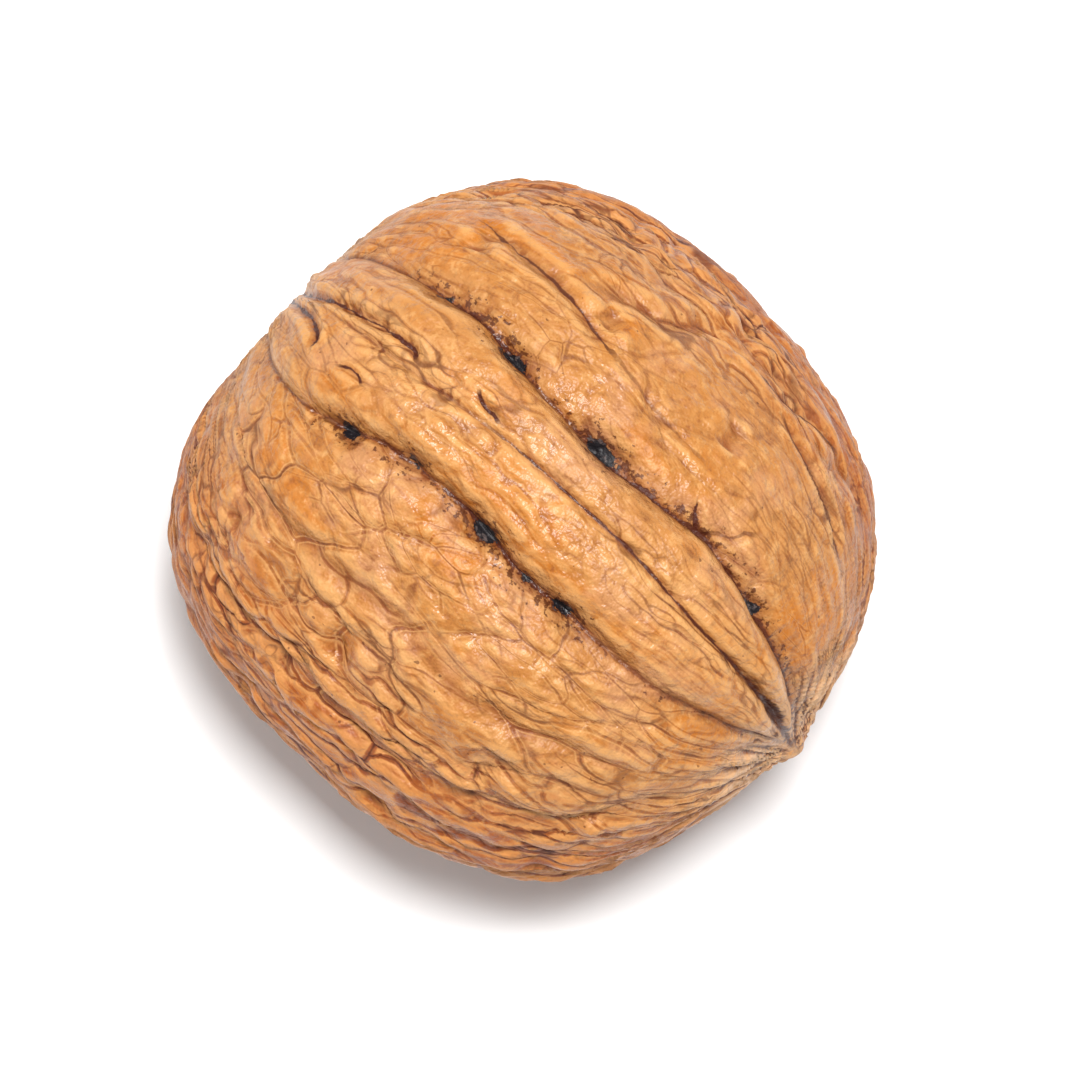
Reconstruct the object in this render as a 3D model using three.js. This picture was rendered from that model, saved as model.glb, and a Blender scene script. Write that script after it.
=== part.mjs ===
// A whole walnut in its shell, lying on its lower seam. The shell grew as one piece, so it is one closed
// solid. Millimetres, +Z up, +X towards the beak, the origin on the surface below the middle of the nut.
//
// Every point of the shell is a direction from the heart of the nut, pushed out to the shell's reach there:
// an egg-like body, plus the relief that a walnut is known by. Places on the shell are two angles in degrees:
// `along`, 0 at the stem end and 180 at the beak, and `around`, 0 at the upper seam, positive over the right
// cheek (+Y), negative over the left cheek (-Y) and 180 at the lower seam.

import * as THREE from 'three';
import { mergeVertices } from 'three/addons/utils/BufferGeometryUtils.js';

// Driving dimensions.
const STEM_REACH = 17.3; // from the heart, before the stem end is flattened
const TIP_REACH = 19.9; // from the heart, without the beak
const LEFT_CHEEK = 19.0; // from the seam's plane
const RIGHT_CHEEK = 16.9;
const UPPER_REACH = 17.2; // from the long axis, without the welt
const LOWER_REACH = 16.9;
const MEAN_REACH = (LEFT_CHEEK + RIGHT_CHEEK) / 2;

const FULLNESS = 2.43; // 2 would be a plain ellipsoid, more is boxier
const FULLER_LEFT = 0.13;
const FULLER_TIP = 0.14;
const STEM_FLATTENING = 1.6;
const STEM_FLATTENING_ANGLE = 21.3; // degrees from the stem end
const BEAK_HEIGHT = 1.3;
const BEAK_ANGLE = 4; // degrees from the tip

// The flat spot that the nut rests on, below its centre of mass.
const FLOOR_DEPTH = LOWER_REACH + 0.42; // from the long axis down to the surface
const REST_CENTRE = { x: 1.48, y: -0.95 }; // from the heart
const WORN_WITHIN = 3.4; // relief is worn away within this radius
const WHOLE_BEYOND = 6.4; // and back in full outside this one

// Where the heart lies in the nut's own frame, whose origin is below the middle of the nut.
const HEART = { x: -2.35, y: 1.1, z: FLOOR_DEPTH };

// The welts: a broad band over each seam, swelling to a lobe on either side of it. The seam is a fine line
// in the shallow valley between the lobes, and a furrow runs along the outer foot of each lobe.
const WELT_HEIGHT = 0.8;
const VALLEY_SHARE = 0.3; // of the welt's height
const SEAM_DEPTH = 0.2;
const SEAM_WIDTH = 0.4;
const FLANK_DEPTH = 0.5;
const FLANK_WIDTH_INSIDE = 0.8;
const FLANK_WIDTH_OUTSIDE = 1.3;
const LOWER_SEAM = 183; // degrees around
const WELT_ROOT = { from: 22, to: 64, height: 0.2 }; // along: the welt sinks into the stem end
const WELT_TAPER = { girth: 9.9, least: 0.12 }; // nearer the long axis than this, all of it is smaller
const SEAM_OPENS = { from: 128, to: 160, by: 1.2 }; // along: the seam gapes towards the beak

// Where the seam and the flank furrows run, as [along, around].
const SEAM_LINE = [[0, -6], [28, -5], [62, -2], [88, 0.6], [114, 1.2], [130, 0], [180, 0]];
const RIGHT_FLANK = [
  [0, 20], [40, 16], [65, 15.5], [73, 14.3], [85, 11.6], [105, 11.2], [115, 12.2], [124, 14.6], [146, 12.2],
  [180, 10],
];
const LEFT_FLANK = [
  [0, -32], [45, -25], [55, -22], [62, -19], [70, -15.2], [84, -13.6], [90, -13.8], [103, -15.8], [133, -16.2],
  [150, -13.8], [180, -6],
];

// Furrows and cracks laid by hand: width and depth in millimetres, then [along, around] points.
const FURROWS = [
  { width: 0.45, depth: 0.5, path: [[22, -4], [30, -4.6], [42, -1], [51, 0.4], [58, 2], [64, 1.2]] },
  { width: 0.35, depth: 0.35, path: [[25, -9], [39, -8], [44, -9], [50, -13]] },
  { width: 0.6, depth: 0.3, path: [[52, 37], [62, 33], [71, 31.6], [78, 29.5], [90, 26]] },
  { width: 0.7, depth: 0.45, path: [[72, 33], [84, 40], [91, 41.5], [95, 48], [99, 53], [111, 56], [124, 58]] },
  { width: 0.8, depth: 0.35, path: [[40, 62], [66, 70], [92, 74], [118, 72], [146, 60]] },
  { width: 0.7, depth: 0.35, path: [[50, -46], [70, -40], [92, -37], [112, -40], [136, -36]] },
  { width: 0.8, depth: 0.45, path: [[38, -72], [62, -64], [84, -61], [108, -63], [134, -58], [152, -40]] },
  { width: 0.8, depth: 0.4, path: [[46, -98], [72, -92], [100, -94], [128, -88], [150, -84]] },
  { width: 0.9, depth: 0.45, path: [[34, -128], [60, -120], [88, -124], [116, -118], [146, -126]] },
  { width: 0.7, depth: 0.4, path: [[42, -152], [70, -146], [98, -150], [130, -144]] },
  { width: 0.9, depth: 0.45, path: [[36, 104], [64, 98], [92, 104], [122, 98], [148, 106]] },
  { width: 0.8, depth: 0.4, path: [[44, 134], [74, 128], [102, 134], [138, 126]] },
];

// Pits left by the husk's fibres: [along, around, length, width, depth].
const PITS = [
  [58, 15.6, 1.6, 0.9, 0.35], [76, 13.4, 1.6, 0.6, 0.6], [100.5, 12, 2.0, 0.85, 1.0],
  [139, 13.8, 1.1, 0.8, 0.5], [62.5, -19, 1.4, 0.8, 0.6], [76, -14, 1.5, 0.8, 0.5],
  [94.5, -14.8, 2.0, 0.8, 0.8], [105.7, -16, 1.1, 0.6, 0.4], [114.2, -15.6, 1.5, 0.7, 0.7],
  [84, 171, 1.8, 0.8, 0.7], [118, 168, 1.6, 0.7, 0.6], [66, -163, 1.7, 0.8, 0.7], [128, -166, 1.5, 0.7, 0.6],
];

// The net of plates that covers the cheeks. A plate is about this long and wide at the nut's thickest.
const PLATE_LENGTH = 6.4;
const PLATE_WIDTH = 3.1;
const PLATE_DOME = 0.14;
const PLATE_TILT = 0.22;
const CREASE_DEPTH = 0.2;
const CREASE_WIDTH = 0.24; // in plates
const NET_WARPS = [{ scale: 0.9, by: 0.8 }, { scale: 2.4, by: 0.3 }]; // in plates: the net wanders

const NET_ENDS = { from: 2, to: 26 }; // degrees from each end
const NET_ON_WELT = { from: 9, to: 24, share: 0.3 }; // degrees from the seam
const NET_ON_RIGHT = { from: 14, full: 30, fades: 44, to: 64, share: 0.45 }; // around: a smoother patch
const NET_ON_SIDES = { from: 44, to: 74, share: 0.7 }; // degrees from either seam's plane

const LUMP_HEIGHT = 0.46;
const LUMP_SIZE = 1.8; // in plates
const WRINKLES = 30; // round each end
const WRINKLE_HEIGHT = 0.13;
const WRINKLE_SPREAD = 34; // degrees from each end

// The scar at the stem end, where the stem was: a dimple in a low rim.
const SCAR = { depth: 0.4, width: 5, rimHeight: 0.2, rimAt: 10.5, rimWidth: 4 }; // widths in degrees along

// The mesh: a cube's grid drawn out to a sphere. Its rows gather towards the seams, and one row on each side
// of a seam is led along the flank furrow.
const GRID = { x: 30, y: 36, z: 28 };
const GATHER = 0.3;
const FLANK_ROW = 8; // rows from the seam
const LED_WITHIN = 62; // degrees from the seam's plane

const RADIANS = Math.PI / 180;

const { abs, acos, atan2, cos, exp, floor, hypot, max, min, sin } = Math;

const clamp = (value, low, high) => min(max(value, low), high);

const smoothstep = (low, high, value) => {
  const t = clamp((value - low) / (high - low), 0, 1);
  return t * t * (3 - 2 * t);
};

const bell = (distance, width) => exp(-((distance / width) ** 2));

// Turns an angle in degrees into the same one from -180 to 180.
const wrap = (angle) => angle - 360 * floor((angle + 180) / 360);

const floatCell = new Float32Array(1);
const bitCell = new Uint32Array(floatCell.buffer);

function bitsOf(value) {
  floatCell[0] = value + 0;
  return bitCell[0] | 0;
}

const turn = (bits, by) => (bits << by) | (bits >>> (32 - by));

// Mixes three numbers' bits into one draw from 0 to 1, always the same for the same numbers.
function settle(a, b, c) {
  c = (c ^ b) - turn(b, 14) | 0;
  a = (a ^ c) - turn(c, 11) | 0;
  b = (b ^ a) - turn(a, 25) | 0;
  c = (c ^ b) - turn(b, 16) | 0;
  a = (a ^ c) - turn(c, 4) | 0;
  b = (b ^ a) - turn(a, 14) | 0;
  c = (c ^ b) - turn(b, 24) | 0;
  return (c >>> 0) / 0xffffffff;
}

function drawOne(x, y, z) {
  const start = (0xdeadbeef + (3 << 2) + 13) | 0;
  return settle(start + bitsOf(x) | 0, start + bitsOf(y) | 0, start + bitsOf(z) | 0);
}

function drawNumbered(x, y, z, number) {
  const start = (0xdeadbeef + (4 << 2) + 13) | 0;
  let a = start + bitsOf(x) | 0;
  let b = start + bitsOf(y) | 0;
  let c = start + bitsOf(z) | 0;
  const stir = (one, other, by) => (one - other | 0) ^ turn(other, by);
  a = stir(a, c, 4);
  c = c + b | 0;
  b = stir(b, a, 6);
  a = a + c | 0;
  c = stir(c, b, 8);
  b = b + a | 0;
  a = stir(a, c, 16);
  c = c + b | 0;
  b = stir(b, a, 19);
  a = a + c | 0;
  c = stir(c, b, 4);
  b = b + a | 0;
  return settle(a + bitsOf(number) | 0, b, c);
}

// Smooth noise from 0 to 1 over a lattice of random values.
function noise(x, y, z) {
  const [ix, iy, iz] = [floor(x), floor(y), floor(z)];
  const [tx, ty, tz] = [x - ix, y - iy, z - iz].map((t) => t * t * (3 - 2 * t));
  let total = 0;
  for (let corner = 0; corner < 8; corner += 1) {
    const [dx, dy, dz] = [corner & 1, (corner >> 1) & 1, (corner >> 2) & 1];
    const share = (dx ? tx : 1 - tx) * (dy ? ty : 1 - ty) * (dz ? tz : 1 - tz);
    total += share * drawOne(ix + dx, iy + dy, iz + dz);
  }
  return total;
}

// The plate of the net that a point of net space lies in: how far its border is, and the plate's lean there.
function plateAt(point) {
  const cell = point.clone().floor();
  const seeds = [];
  for (let dz = -1; dz <= 1; dz += 1) {
    for (let dy = -1; dy <= 1; dy += 1) {
      for (let dx = -1; dx <= 1; dx += 1) {
        const [x, y, z] = [cell.x + dx, cell.y + dy, cell.z + dz];
        const jitter = new THREE.Vector3(drawOne(x, y, z), drawNumbered(x, y, z, 1), drawNumbered(x, y, z, 2));
        seeds.push({ jitter, away: new THREE.Vector3(x, y, z).add(jitter).sub(point) });
      }
    }
  }
  const own = seeds.reduce((best, seed) => (seed.away.lengthSq() < best.away.lengthSq() ? seed : best));
  let border = Infinity;
  for (const { away } of seeds) {
    const across = away.clone().sub(own.away);
    if (across.lengthSq() > 1e-4) {
      border = min(border, away.clone().add(own.away).multiplyScalar(0.5).dot(across.normalize()));
    }
  }
  const lean = own.jitter.clone().subScalar(0.5).dot(own.away) * 2 * smoothstep(0, 0.3, border);
  return { border, lean };
}

// A value read off [along, value] points, straight between them.
function readOff(points, along) {
  const after = points.findIndex(([at]) => at >= along);
  if (after <= 0) return points[after < 0 ? points.length - 1 : 0][1];
  const [[a, from], [b, to]] = [points[after - 1], points[after]];
  return from + (to - from) * (along - a) / (b - a);
}

// The egg-like body's reach in one direction, with the beak and the flattened stem end.
function bodyReach(u) {
  const lengthways = abs(u.x) / (u.x > 0 ? TIP_REACH : STEM_REACH);
  const across = hypot(u.y / (u.y > 0 ? RIGHT_CHEEK : LEFT_CHEEK), u.z / (u.z > 0 ? UPPER_REACH : LOWER_REACH));
  const rightward = u.y / max(hypot(u.y, u.z), 1e-9);
  const fullness = FULLNESS - FULLER_LEFT * rightward + FULLER_TIP * u.x;
  const body = (lengthways ** fullness + across ** fullness) ** (-1 / fullness);
  const fromTip = acos(clamp(u.x, -1, 1)) / RADIANS;
  const beak = BEAK_HEIGHT * exp(-fromTip / BEAK_ANGLE);
  return body + beak - STEM_FLATTENING * bell(180 - fromTip, STEM_FLATTENING_ANGLE);
}

// One seam's welt, its seam line and its two flank furrows.
function weltRelief(along, around, girth) {
  const offset = around - readOff(SEAM_LINE, along);
  const flank = abs(readOff(offset > 0 ? RIGHT_FLANK : LEFT_FLANK, along) - readOff(SEAM_LINE, along));
  const toSeam = abs(offset) * RADIANS * girth;
  const toFlank = (abs(offset) - flank) * RADIANS * girth;
  const risen = WELT_ROOT.height + (1 - WELT_ROOT.height) * smoothstep(WELT_ROOT.from, WELT_ROOT.to, along);
  const size = risen * clamp(girth / WELT_TAPER.girth, WELT_TAPER.least, 1);

  const share = clamp(abs(offset) / flank, 0, 1);
  const crown = WELT_HEIGHT * (1 - share ** 4) * (1 - VALLEY_SHARE * bell(share, 0.32));
  const opened = 1 + SEAM_OPENS.by * smoothstep(SEAM_OPENS.from, SEAM_OPENS.to, along);
  const seam = SEAM_DEPTH * opened * bell(toSeam, SEAM_WIDTH);
  const uneven = 0.7 + 0.8 * noise(along / 9, offset > 0 ? 11.5 : 4.5, 2.5);
  const furrow = FLANK_DEPTH * uneven * bell(toFlank, toFlank > 0 ? FLANK_WIDTH_OUTSIDE : FLANK_WIDTH_INSIDE);
  return size * (crown - seam - furrow);
}

// How far a point is from a path, and how far along the path its nearest point is, as a share.
function fromPath(path, along, around, girth) {
  const laidFlat = path.map(([atAlong, atAround]) => [
    (atAlong - along) * RADIANS * MEAN_REACH,
    wrap(atAround - around) * RADIANS * girth,
  ]);
  let nearest = { distance: Infinity, share: 0 };
  for (let i = 0; i + 1 < path.length; i += 1) {
    const [[px, py], [qx, qy]] = [laidFlat[i], laidFlat[i + 1]];
    const t = clamp(-(px * (qx - px) + py * (qy - py)) / hypot(qx - px, qy - py) ** 2, 0, 1);
    const distance = hypot(px + t * (qx - px), py + t * (qy - py));
    if (distance < nearest.distance) nearest = { distance, share: (i + t) / (path.length - 1) };
  }
  return nearest;
}

function furrowRelief(along, around, girth) {
  let relief = 0;
  for (const { width, depth, path } of FURROWS) {
    const { distance, share } = fromPath(path, along, around, girth);
    const fade = smoothstep(0, 0.18, min(share, 1 - share) + 0.02);
    relief -= depth * fade * (bell(distance, width) - 0.3 * bell(distance - 2 * width, width));
  }
  for (const [atAlong, atAround, length, width, depth] of PITS) {
    const lengthways = (atAlong - along) * RADIANS * MEAN_REACH / length;
    const across = wrap(atAround - around) * RADIANS * girth / width;
    relief -= depth * bell(hypot(lengthways, across), 1);
  }
  return relief;
}

// A space laid over the shell, where every plate of the net is about one unit across.
function plateSpace(along, around) {
  const lengthways = along * RADIANS * MEAN_REACH / PLATE_LENGTH;
  const ring = MEAN_REACH / PLATE_WIDTH;
  return new THREE.Vector3(lengthways, ring * cos(around * RADIANS), ring * sin(around * RADIANS));
}

// The same space, bent so that the net's creases wander.
function netPlace(flat) {
  const place = flat.clone();
  for (const { scale, by } of NET_WARPS) {
    const shift = (k) => by * (noise(flat.x * scale + k, flat.y * scale + k, flat.z * scale - k) - 0.5);
    place.add(new THREE.Vector3(shift(3), shift(17), shift(31)));
  }
  return place;
}

// The plates of the net and the broad lumps under them.
function netRelief(along, around, fromSeam) {
  const ends = smoothstep(NET_ENDS.from, NET_ENDS.to, min(along, 180 - along));
  const offWelt = smoothstep(NET_ON_WELT.from, NET_ON_WELT.to, abs(fromSeam));
  const onRight = smoothstep(NET_ON_RIGHT.from, NET_ON_RIGHT.full, around)
    * smoothstep(NET_ON_RIGHT.to, NET_ON_RIGHT.fades, around);
  const fromTop = min(abs(around), 180 - abs(around));
  const onSides = smoothstep(NET_ON_SIDES.from, NET_ON_SIDES.to, fromTop);
  const onWelt = NET_ON_WELT.share + (1 - NET_ON_WELT.share) * offWelt;
  const net = onWelt * (1 - (1 - NET_ON_RIGHT.share) * onRight) * (1 - (1 - NET_ON_SIDES.share) * onSides);

  const flat = plateSpace(along, around);
  const { border, lean } = plateAt(netPlace(flat));
  const dome = PLATE_DOME * smoothstep(0, 0.4, border);
  const plates = dome + PLATE_TILT * lean - CREASE_DEPTH * bell(border, CREASE_WIDTH);
  const lumps = LUMP_HEIGHT * (noise(flat.x / LUMP_SIZE + 7, flat.y / LUMP_SIZE, flat.z / LUMP_SIZE) - 0.5);
  return ends * (net * plates + lumps);
}

// The wrinkles that gather round each end like the rays of a star, and the stem end's scar.
function endRelief(along, around) {
  const fromEnd = min(along, 180 - along);
  const gathered = bell(fromEnd, WRINKLE_SPREAD) * smoothstep(1, 9, fromEnd);
  const ring = WRINKLES / (2 * Math.PI);
  const fold = noise(along / 16, ring * cos(around * RADIANS) + 50, ring * sin(around * RADIANS));
  const scar = SCAR.rimHeight * bell(along - SCAR.rimAt, SCAR.rimWidth) - SCAR.depth * bell(along, SCAR.width);
  return scar + WRINKLE_HEIGHT * gathered * (1 - 2.5 * abs(2 * fold - 1));
}

function reliefAt(u, reach) {
  const along = acos(clamp(-u.x, -1, 1)) / RADIANS;
  const around = atan2(u.y, u.z) / RADIANS;
  const girth = hypot(u.y, u.z) * reach;
  const fromSeam = abs(around) < 90 ? around : wrap(around - LOWER_SEAM);
  return weltRelief(along, fromSeam, girth) + furrowRelief(along, around, girth)
    + netRelief(along, around, fromSeam) + endRelief(along, around);
}

// The shell's reach from the heart in one direction, stopped by the surface that the nut lies on.
function shellReach(u) {
  const body = bodyReach(u);
  const fromRest = hypot(u.x * body - REST_CENTRE.x, u.y * body - REST_CENTRE.y);
  const whole = u.z < 0 ? smoothstep(WORN_WITHIN, WHOLE_BEYOND, fromRest) : 1;
  const worn = WELT_HEIGHT * bell(fromRest, WHOLE_BEYOND);
  const reach = body + whole * reliefAt(u, body) + (1 - whole) * worn;
  return u.z < 0 ? min(reach, -FLOOR_DEPTH / u.z) : reach;
}

const gather = (t) => t * (1 - GATHER + GATHER * t * t);
const EVEN_FLANK = 45 * gather(2 * FLANK_ROW / GRID.y); // degrees from the seam's plane, before it is led

// Leads the grid's rows: a row's even angle from the seam's plane turns into the angle of the line it follows.
function leadRow(along, even, seamAt) {
  const led = readOff([
    [-LED_WITHIN, -LED_WITHIN],
    [-EVEN_FLANK, seamAt + readOff(LEFT_FLANK, along)],
    [0, seamAt + readOff(SEAM_LINE, along)],
    [EVEN_FLANK, seamAt + readOff(RIGHT_FLANK, along)],
    [LED_WITHIN, LED_WITHIN],
  ], even);
  return even + (led - even) * smoothstep(8, 45, min(along, 180 - along));
}

// A cube's grid drawn out to a sphere of directions, with a row of edges along each seam and flank furrow.
function directions() {
  const cube = new THREE.BoxGeometry(2, 2, 2, GRID.x, GRID.y, GRID.z);
  cube.deleteAttribute('normal');
  cube.deleteAttribute('uv');
  const grid = mergeVertices(cube, 1e-5);
  const places = grid.getAttribute('position');
  const spread = (t) => Math.tan(t * Math.PI / 4);
  for (let i = 0; i < places.count; i += 1) {
    const [x, y, z] = [places.getX(i), places.getY(i), places.getZ(i)];
    const even = new THREE.Vector3(spread(x), spread(gather(y)), spread(z)).normalize();
    const along = acos(clamp(-even.x, -1, 1)) / RADIANS;
    const around = atan2(even.y, even.z) / RADIANS;
    const side = hypot(even.y, even.z);
    const underneath = wrap(around - 180);
    let led = around;
    if (abs(around) < LED_WITHIN) led = leadRow(along, around, 0);
    if (abs(underneath) < LED_WITHIN) led = 180 + leadRow(along, underneath, LOWER_SEAM - 180);
    places.setXYZ(i, even.x, side * sin(led * RADIANS), side * cos(led * RADIANS));
  }
  return grid;
}

function walnutShell() {
  const shell = directions();
  const places = shell.getAttribute('position');
  const u = new THREE.Vector3();
  for (let i = 0; i < places.count; i += 1) {
    u.fromBufferAttribute(places, i).normalize();
    const reach = shellReach(u);
    places.setXYZ(i, u.x * reach, u.y * reach, u.z * reach);
  }
  return shell;
}

const shellMaterial = new THREE.MeshStandardMaterial({ color: 0xc98f52, roughness: 0.55, metalness: 0 });

const walnut = new THREE.Mesh(walnutShell(), shellMaterial);
walnut.name = 'walnut';

const nut = new THREE.Group();
nut.add(walnut);
nut.position.set(HEART.x, HEART.y, HEART.z);

export default nut;
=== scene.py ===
"""A whole walnut in its shell, lying on its lower seam.

The shell is one closed skin. Every point of it is a direction from the heart of the nut, pushed out to the
shell's reach there: an egg-like body, plus the relief that a walnut is known by. Places on the shell are two
angles in degrees: along, 0 at the stem end and 180 at the beak, and around, 0 at the upper seam, positive
over the right cheek, negative over the left cheek and 180 at the lower seam. Reaches and reliefs are in
millimetres, and the finished mesh is in metres.
"""

import logging
import math
from dataclasses import dataclass, field
from enum import Enum

import bmesh
import bpy
import numpy as np
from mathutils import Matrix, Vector

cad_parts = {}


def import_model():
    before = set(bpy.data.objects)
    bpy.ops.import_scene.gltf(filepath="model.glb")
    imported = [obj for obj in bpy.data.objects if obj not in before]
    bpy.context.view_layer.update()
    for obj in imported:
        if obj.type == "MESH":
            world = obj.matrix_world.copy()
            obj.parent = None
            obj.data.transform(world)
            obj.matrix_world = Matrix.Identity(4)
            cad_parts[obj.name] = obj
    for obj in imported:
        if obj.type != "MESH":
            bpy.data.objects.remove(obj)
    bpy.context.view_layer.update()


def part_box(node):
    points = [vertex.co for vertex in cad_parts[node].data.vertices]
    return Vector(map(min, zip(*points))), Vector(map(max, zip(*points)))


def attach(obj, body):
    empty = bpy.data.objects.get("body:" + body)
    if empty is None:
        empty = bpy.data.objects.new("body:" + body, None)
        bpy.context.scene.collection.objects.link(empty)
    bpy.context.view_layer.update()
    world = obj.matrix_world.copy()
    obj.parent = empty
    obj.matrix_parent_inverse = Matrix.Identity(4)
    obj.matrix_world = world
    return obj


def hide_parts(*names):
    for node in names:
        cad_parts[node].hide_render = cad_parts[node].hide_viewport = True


LOG = logging.getLogger("walnut")
MM = 0.001
MEAN_REACH = 17.95  # millimetres from the long axis, where the nut is thickest
TINY = 1e-9
MIX_FIRST = 6  # where a Mix node's colour sockets are among its inputs and outputs
MIX_SECOND = 7
MIX_RESULT = 2

Path = tuple[tuple[float, float], ...]
Colour = tuple[float, float, float]
Slope = tuple[float, float]  # where a smooth slope starts and where it ends
Ramp = tuple[float, float, float, float]  # a smooth slope, and the values at its start and its end
Values = np.ndarray | float
Socket = bpy.types.NodeSocket
Number = Socket | float
Tint = Socket | Colour


# Smooth shapes in numbers


def smoothstep(low: float, high: float, value: np.ndarray) -> np.ndarray:
    """Rises smoothly from 0 at low to 1 at high, or falls if low is the greater."""
    t = np.clip((value - low) / (high - low), 0.0, 1.0)
    return t * t * (3.0 - 2.0 * t)


def bell(distance: np.ndarray, width: Values) -> np.ndarray:
    """A rounded bump, 1 at no distance and near 0 past twice the width."""
    return np.exp(-((distance / width) ** 2))


def wrap(angle: np.ndarray) -> np.ndarray:
    """Turns angles in degrees into the same ones from -180 to 180."""
    return angle - 360.0 * np.floor((angle + 180.0) / 360.0)


def read_off(points: Path, at: np.ndarray) -> np.ndarray:
    """Reads a value off [place, value] points, straight between them."""
    places, values = zip(*points)
    return np.interp(at, places, values)


# Random numbers that depend on nothing but the place

# The shader's nets of cells draw the same numbers, so its lines lie in the creases of the mesh.
DRAW_SEED = 0xDEADBEEF + 13
SETTLING_TURNS = (14, 11, 25, 16, 4, 14, 24)
MIXING_TURNS = (4, 6, 8, 16, 19, 4)
LARGEST_DRAW = float(0xFFFFFFFF)


def _bits(value: Values) -> np.ndarray:
    """The bits of numbers, as the shader's own random numbers read them."""
    return (np.asarray(value, dtype=np.float32) + np.float32(0.0)).view(np.uint32)


def _turn(bits: np.ndarray, by: int) -> np.ndarray:
    """Turns 32 bits round to the left."""
    return (bits << np.uint32(by)) | (bits >> np.uint32(32 - by))


def _seeded(place: np.ndarray, count: int) -> list[np.ndarray]:
    """The bits of places' x, y and z, seeded for draws that depend on so many numbers."""
    seed = np.uint32(DRAW_SEED + (count << 2))
    return [seed + _bits(place[:, axis]) for axis in range(3)]


def _settle(a: np.ndarray, b: np.ndarray, c: np.ndarray) -> np.ndarray:
    """Mixes three numbers' bits into one draw from 0 to 1.

    Args:
        a: The first number's bits.
        b: The second number's.
        c: The third number's.

    Returns:
        The draws.
    """
    for by in SETTLING_TURNS:
        a, b, c = b, (c ^ b) - _turn(b, by), a
    return b / LARGEST_DRAW


def draw(place: np.ndarray) -> np.ndarray:
    """One draw from 0 to 1 for each whole place, always the same for the same place."""
    return _settle(*_seeded(place, 3))


def draw_numbered(place: np.ndarray, number: float) -> np.ndarray:
    """One of several draws from 0 to 1 for each whole place.

    Args:
        place: Rows of x, y and z.
        number: Which draw.

    Returns:
        The draws, always the same for the same places and number.
    """
    a, b, c = _seeded(place, 4)
    for by in MIXING_TURNS:
        a, b, c = b, c + b, (a - c) ^ _turn(c, by)
    return _settle(a + _bits(number), b, c)


def noise(place: np.ndarray) -> np.ndarray:
    """Smooth noise from 0 to 1 over a lattice of draws.

    Args:
        place: Rows of x, y and z.

    Returns:
        The noise at each place.
    """
    cell = np.floor(place)
    t = place - cell
    t = t * t * (3.0 - 2.0 * t)
    total = np.zeros(len(place))
    for z, y, x in np.ndindex(2, 2, 2):
        corner = np.array([x, y, z], dtype=float)
        share = np.prod(np.where(corner > 0, t, 1.0 - t), axis=1)
        total += share * draw(cell + corner)
    return total


def rough_noise(place: np.ndarray, octaves: int = 3) -> np.ndarray:
    """Noise with finer noise on it, each layer half as strong as the last.

    Args:
        place: Rows of x, y and z.
        octaves: How many layers.

    Returns:
        The noise, from 0 to 1.
    """
    finer, shift = 2.03, 5.7
    layers = [noise(place * finer**i + shift * i) * 0.5**i for i in range(octaves)]
    return sum(layers) / sum(0.5**i for i in range(octaves))


# Places on the shell, and the patterns laid over them


@dataclass(frozen=True)
class Plates:
    """The cells of a net at many points: how far each point's border is, and its plate's lean there."""

    border: np.ndarray
    lean: np.ndarray

    @classmethod
    def at(cls, place: np.ndarray) -> "Plates":
        """Finds the plates that points of a net's own space lie in.

        Args:
            place: Rows of x, y and z, where a plate is about one unit across.

        Returns:
            The plates at those points.
        """
        cell = np.floor(place)
        jitters, aways = [], []
        for z, y, x in np.ndindex(3, 3, 3):
            seed = cell + np.array([x - 1.0, y - 1.0, z - 1.0])
            jitter = np.stack([draw(seed), draw_numbered(seed, 1.0), draw_numbered(seed, 2.0)], axis=1)
            jitters.append(jitter)
            aways.append(seed + jitter - place)
        away = np.stack(aways)
        nearest = np.argmin((away**2).sum(axis=2), axis=0)
        rows = np.arange(len(place))
        own = away[nearest, rows]
        own_jitter = np.stack(jitters)[nearest, rows]
        border = np.full(len(place), np.inf)
        for other in away:
            across = other - own
            length = np.linalg.norm(across, axis=1)
            middle = ((other + own) * 0.5 * across).sum(axis=1) / np.maximum(length, TINY)
            border = np.where(length > 0.01, np.minimum(border, middle), border)
        lean = ((own_jitter - 0.5) * own).sum(axis=1) * 2.0
        return cls(border=border, lean=lean * smoothstep(0.0, 0.3, border))

    def dome(self, width: float) -> np.ndarray:
        """A dome's height: 0 at the border, and 1 from the width inwards."""
        return smoothstep(0.0, width, self.border)

    def cut(self, width: float) -> np.ndarray:
        """A sharp cut along the border: 1 on it, and gone a few widths away."""
        return np.exp(-self.border / width)


@dataclass(frozen=True)
class Space:
    """A pattern's own space: the millimetres of the shell's length and girth to one unit, and a seed."""

    length: float
    width: float
    seed: float = 0.0


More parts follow.
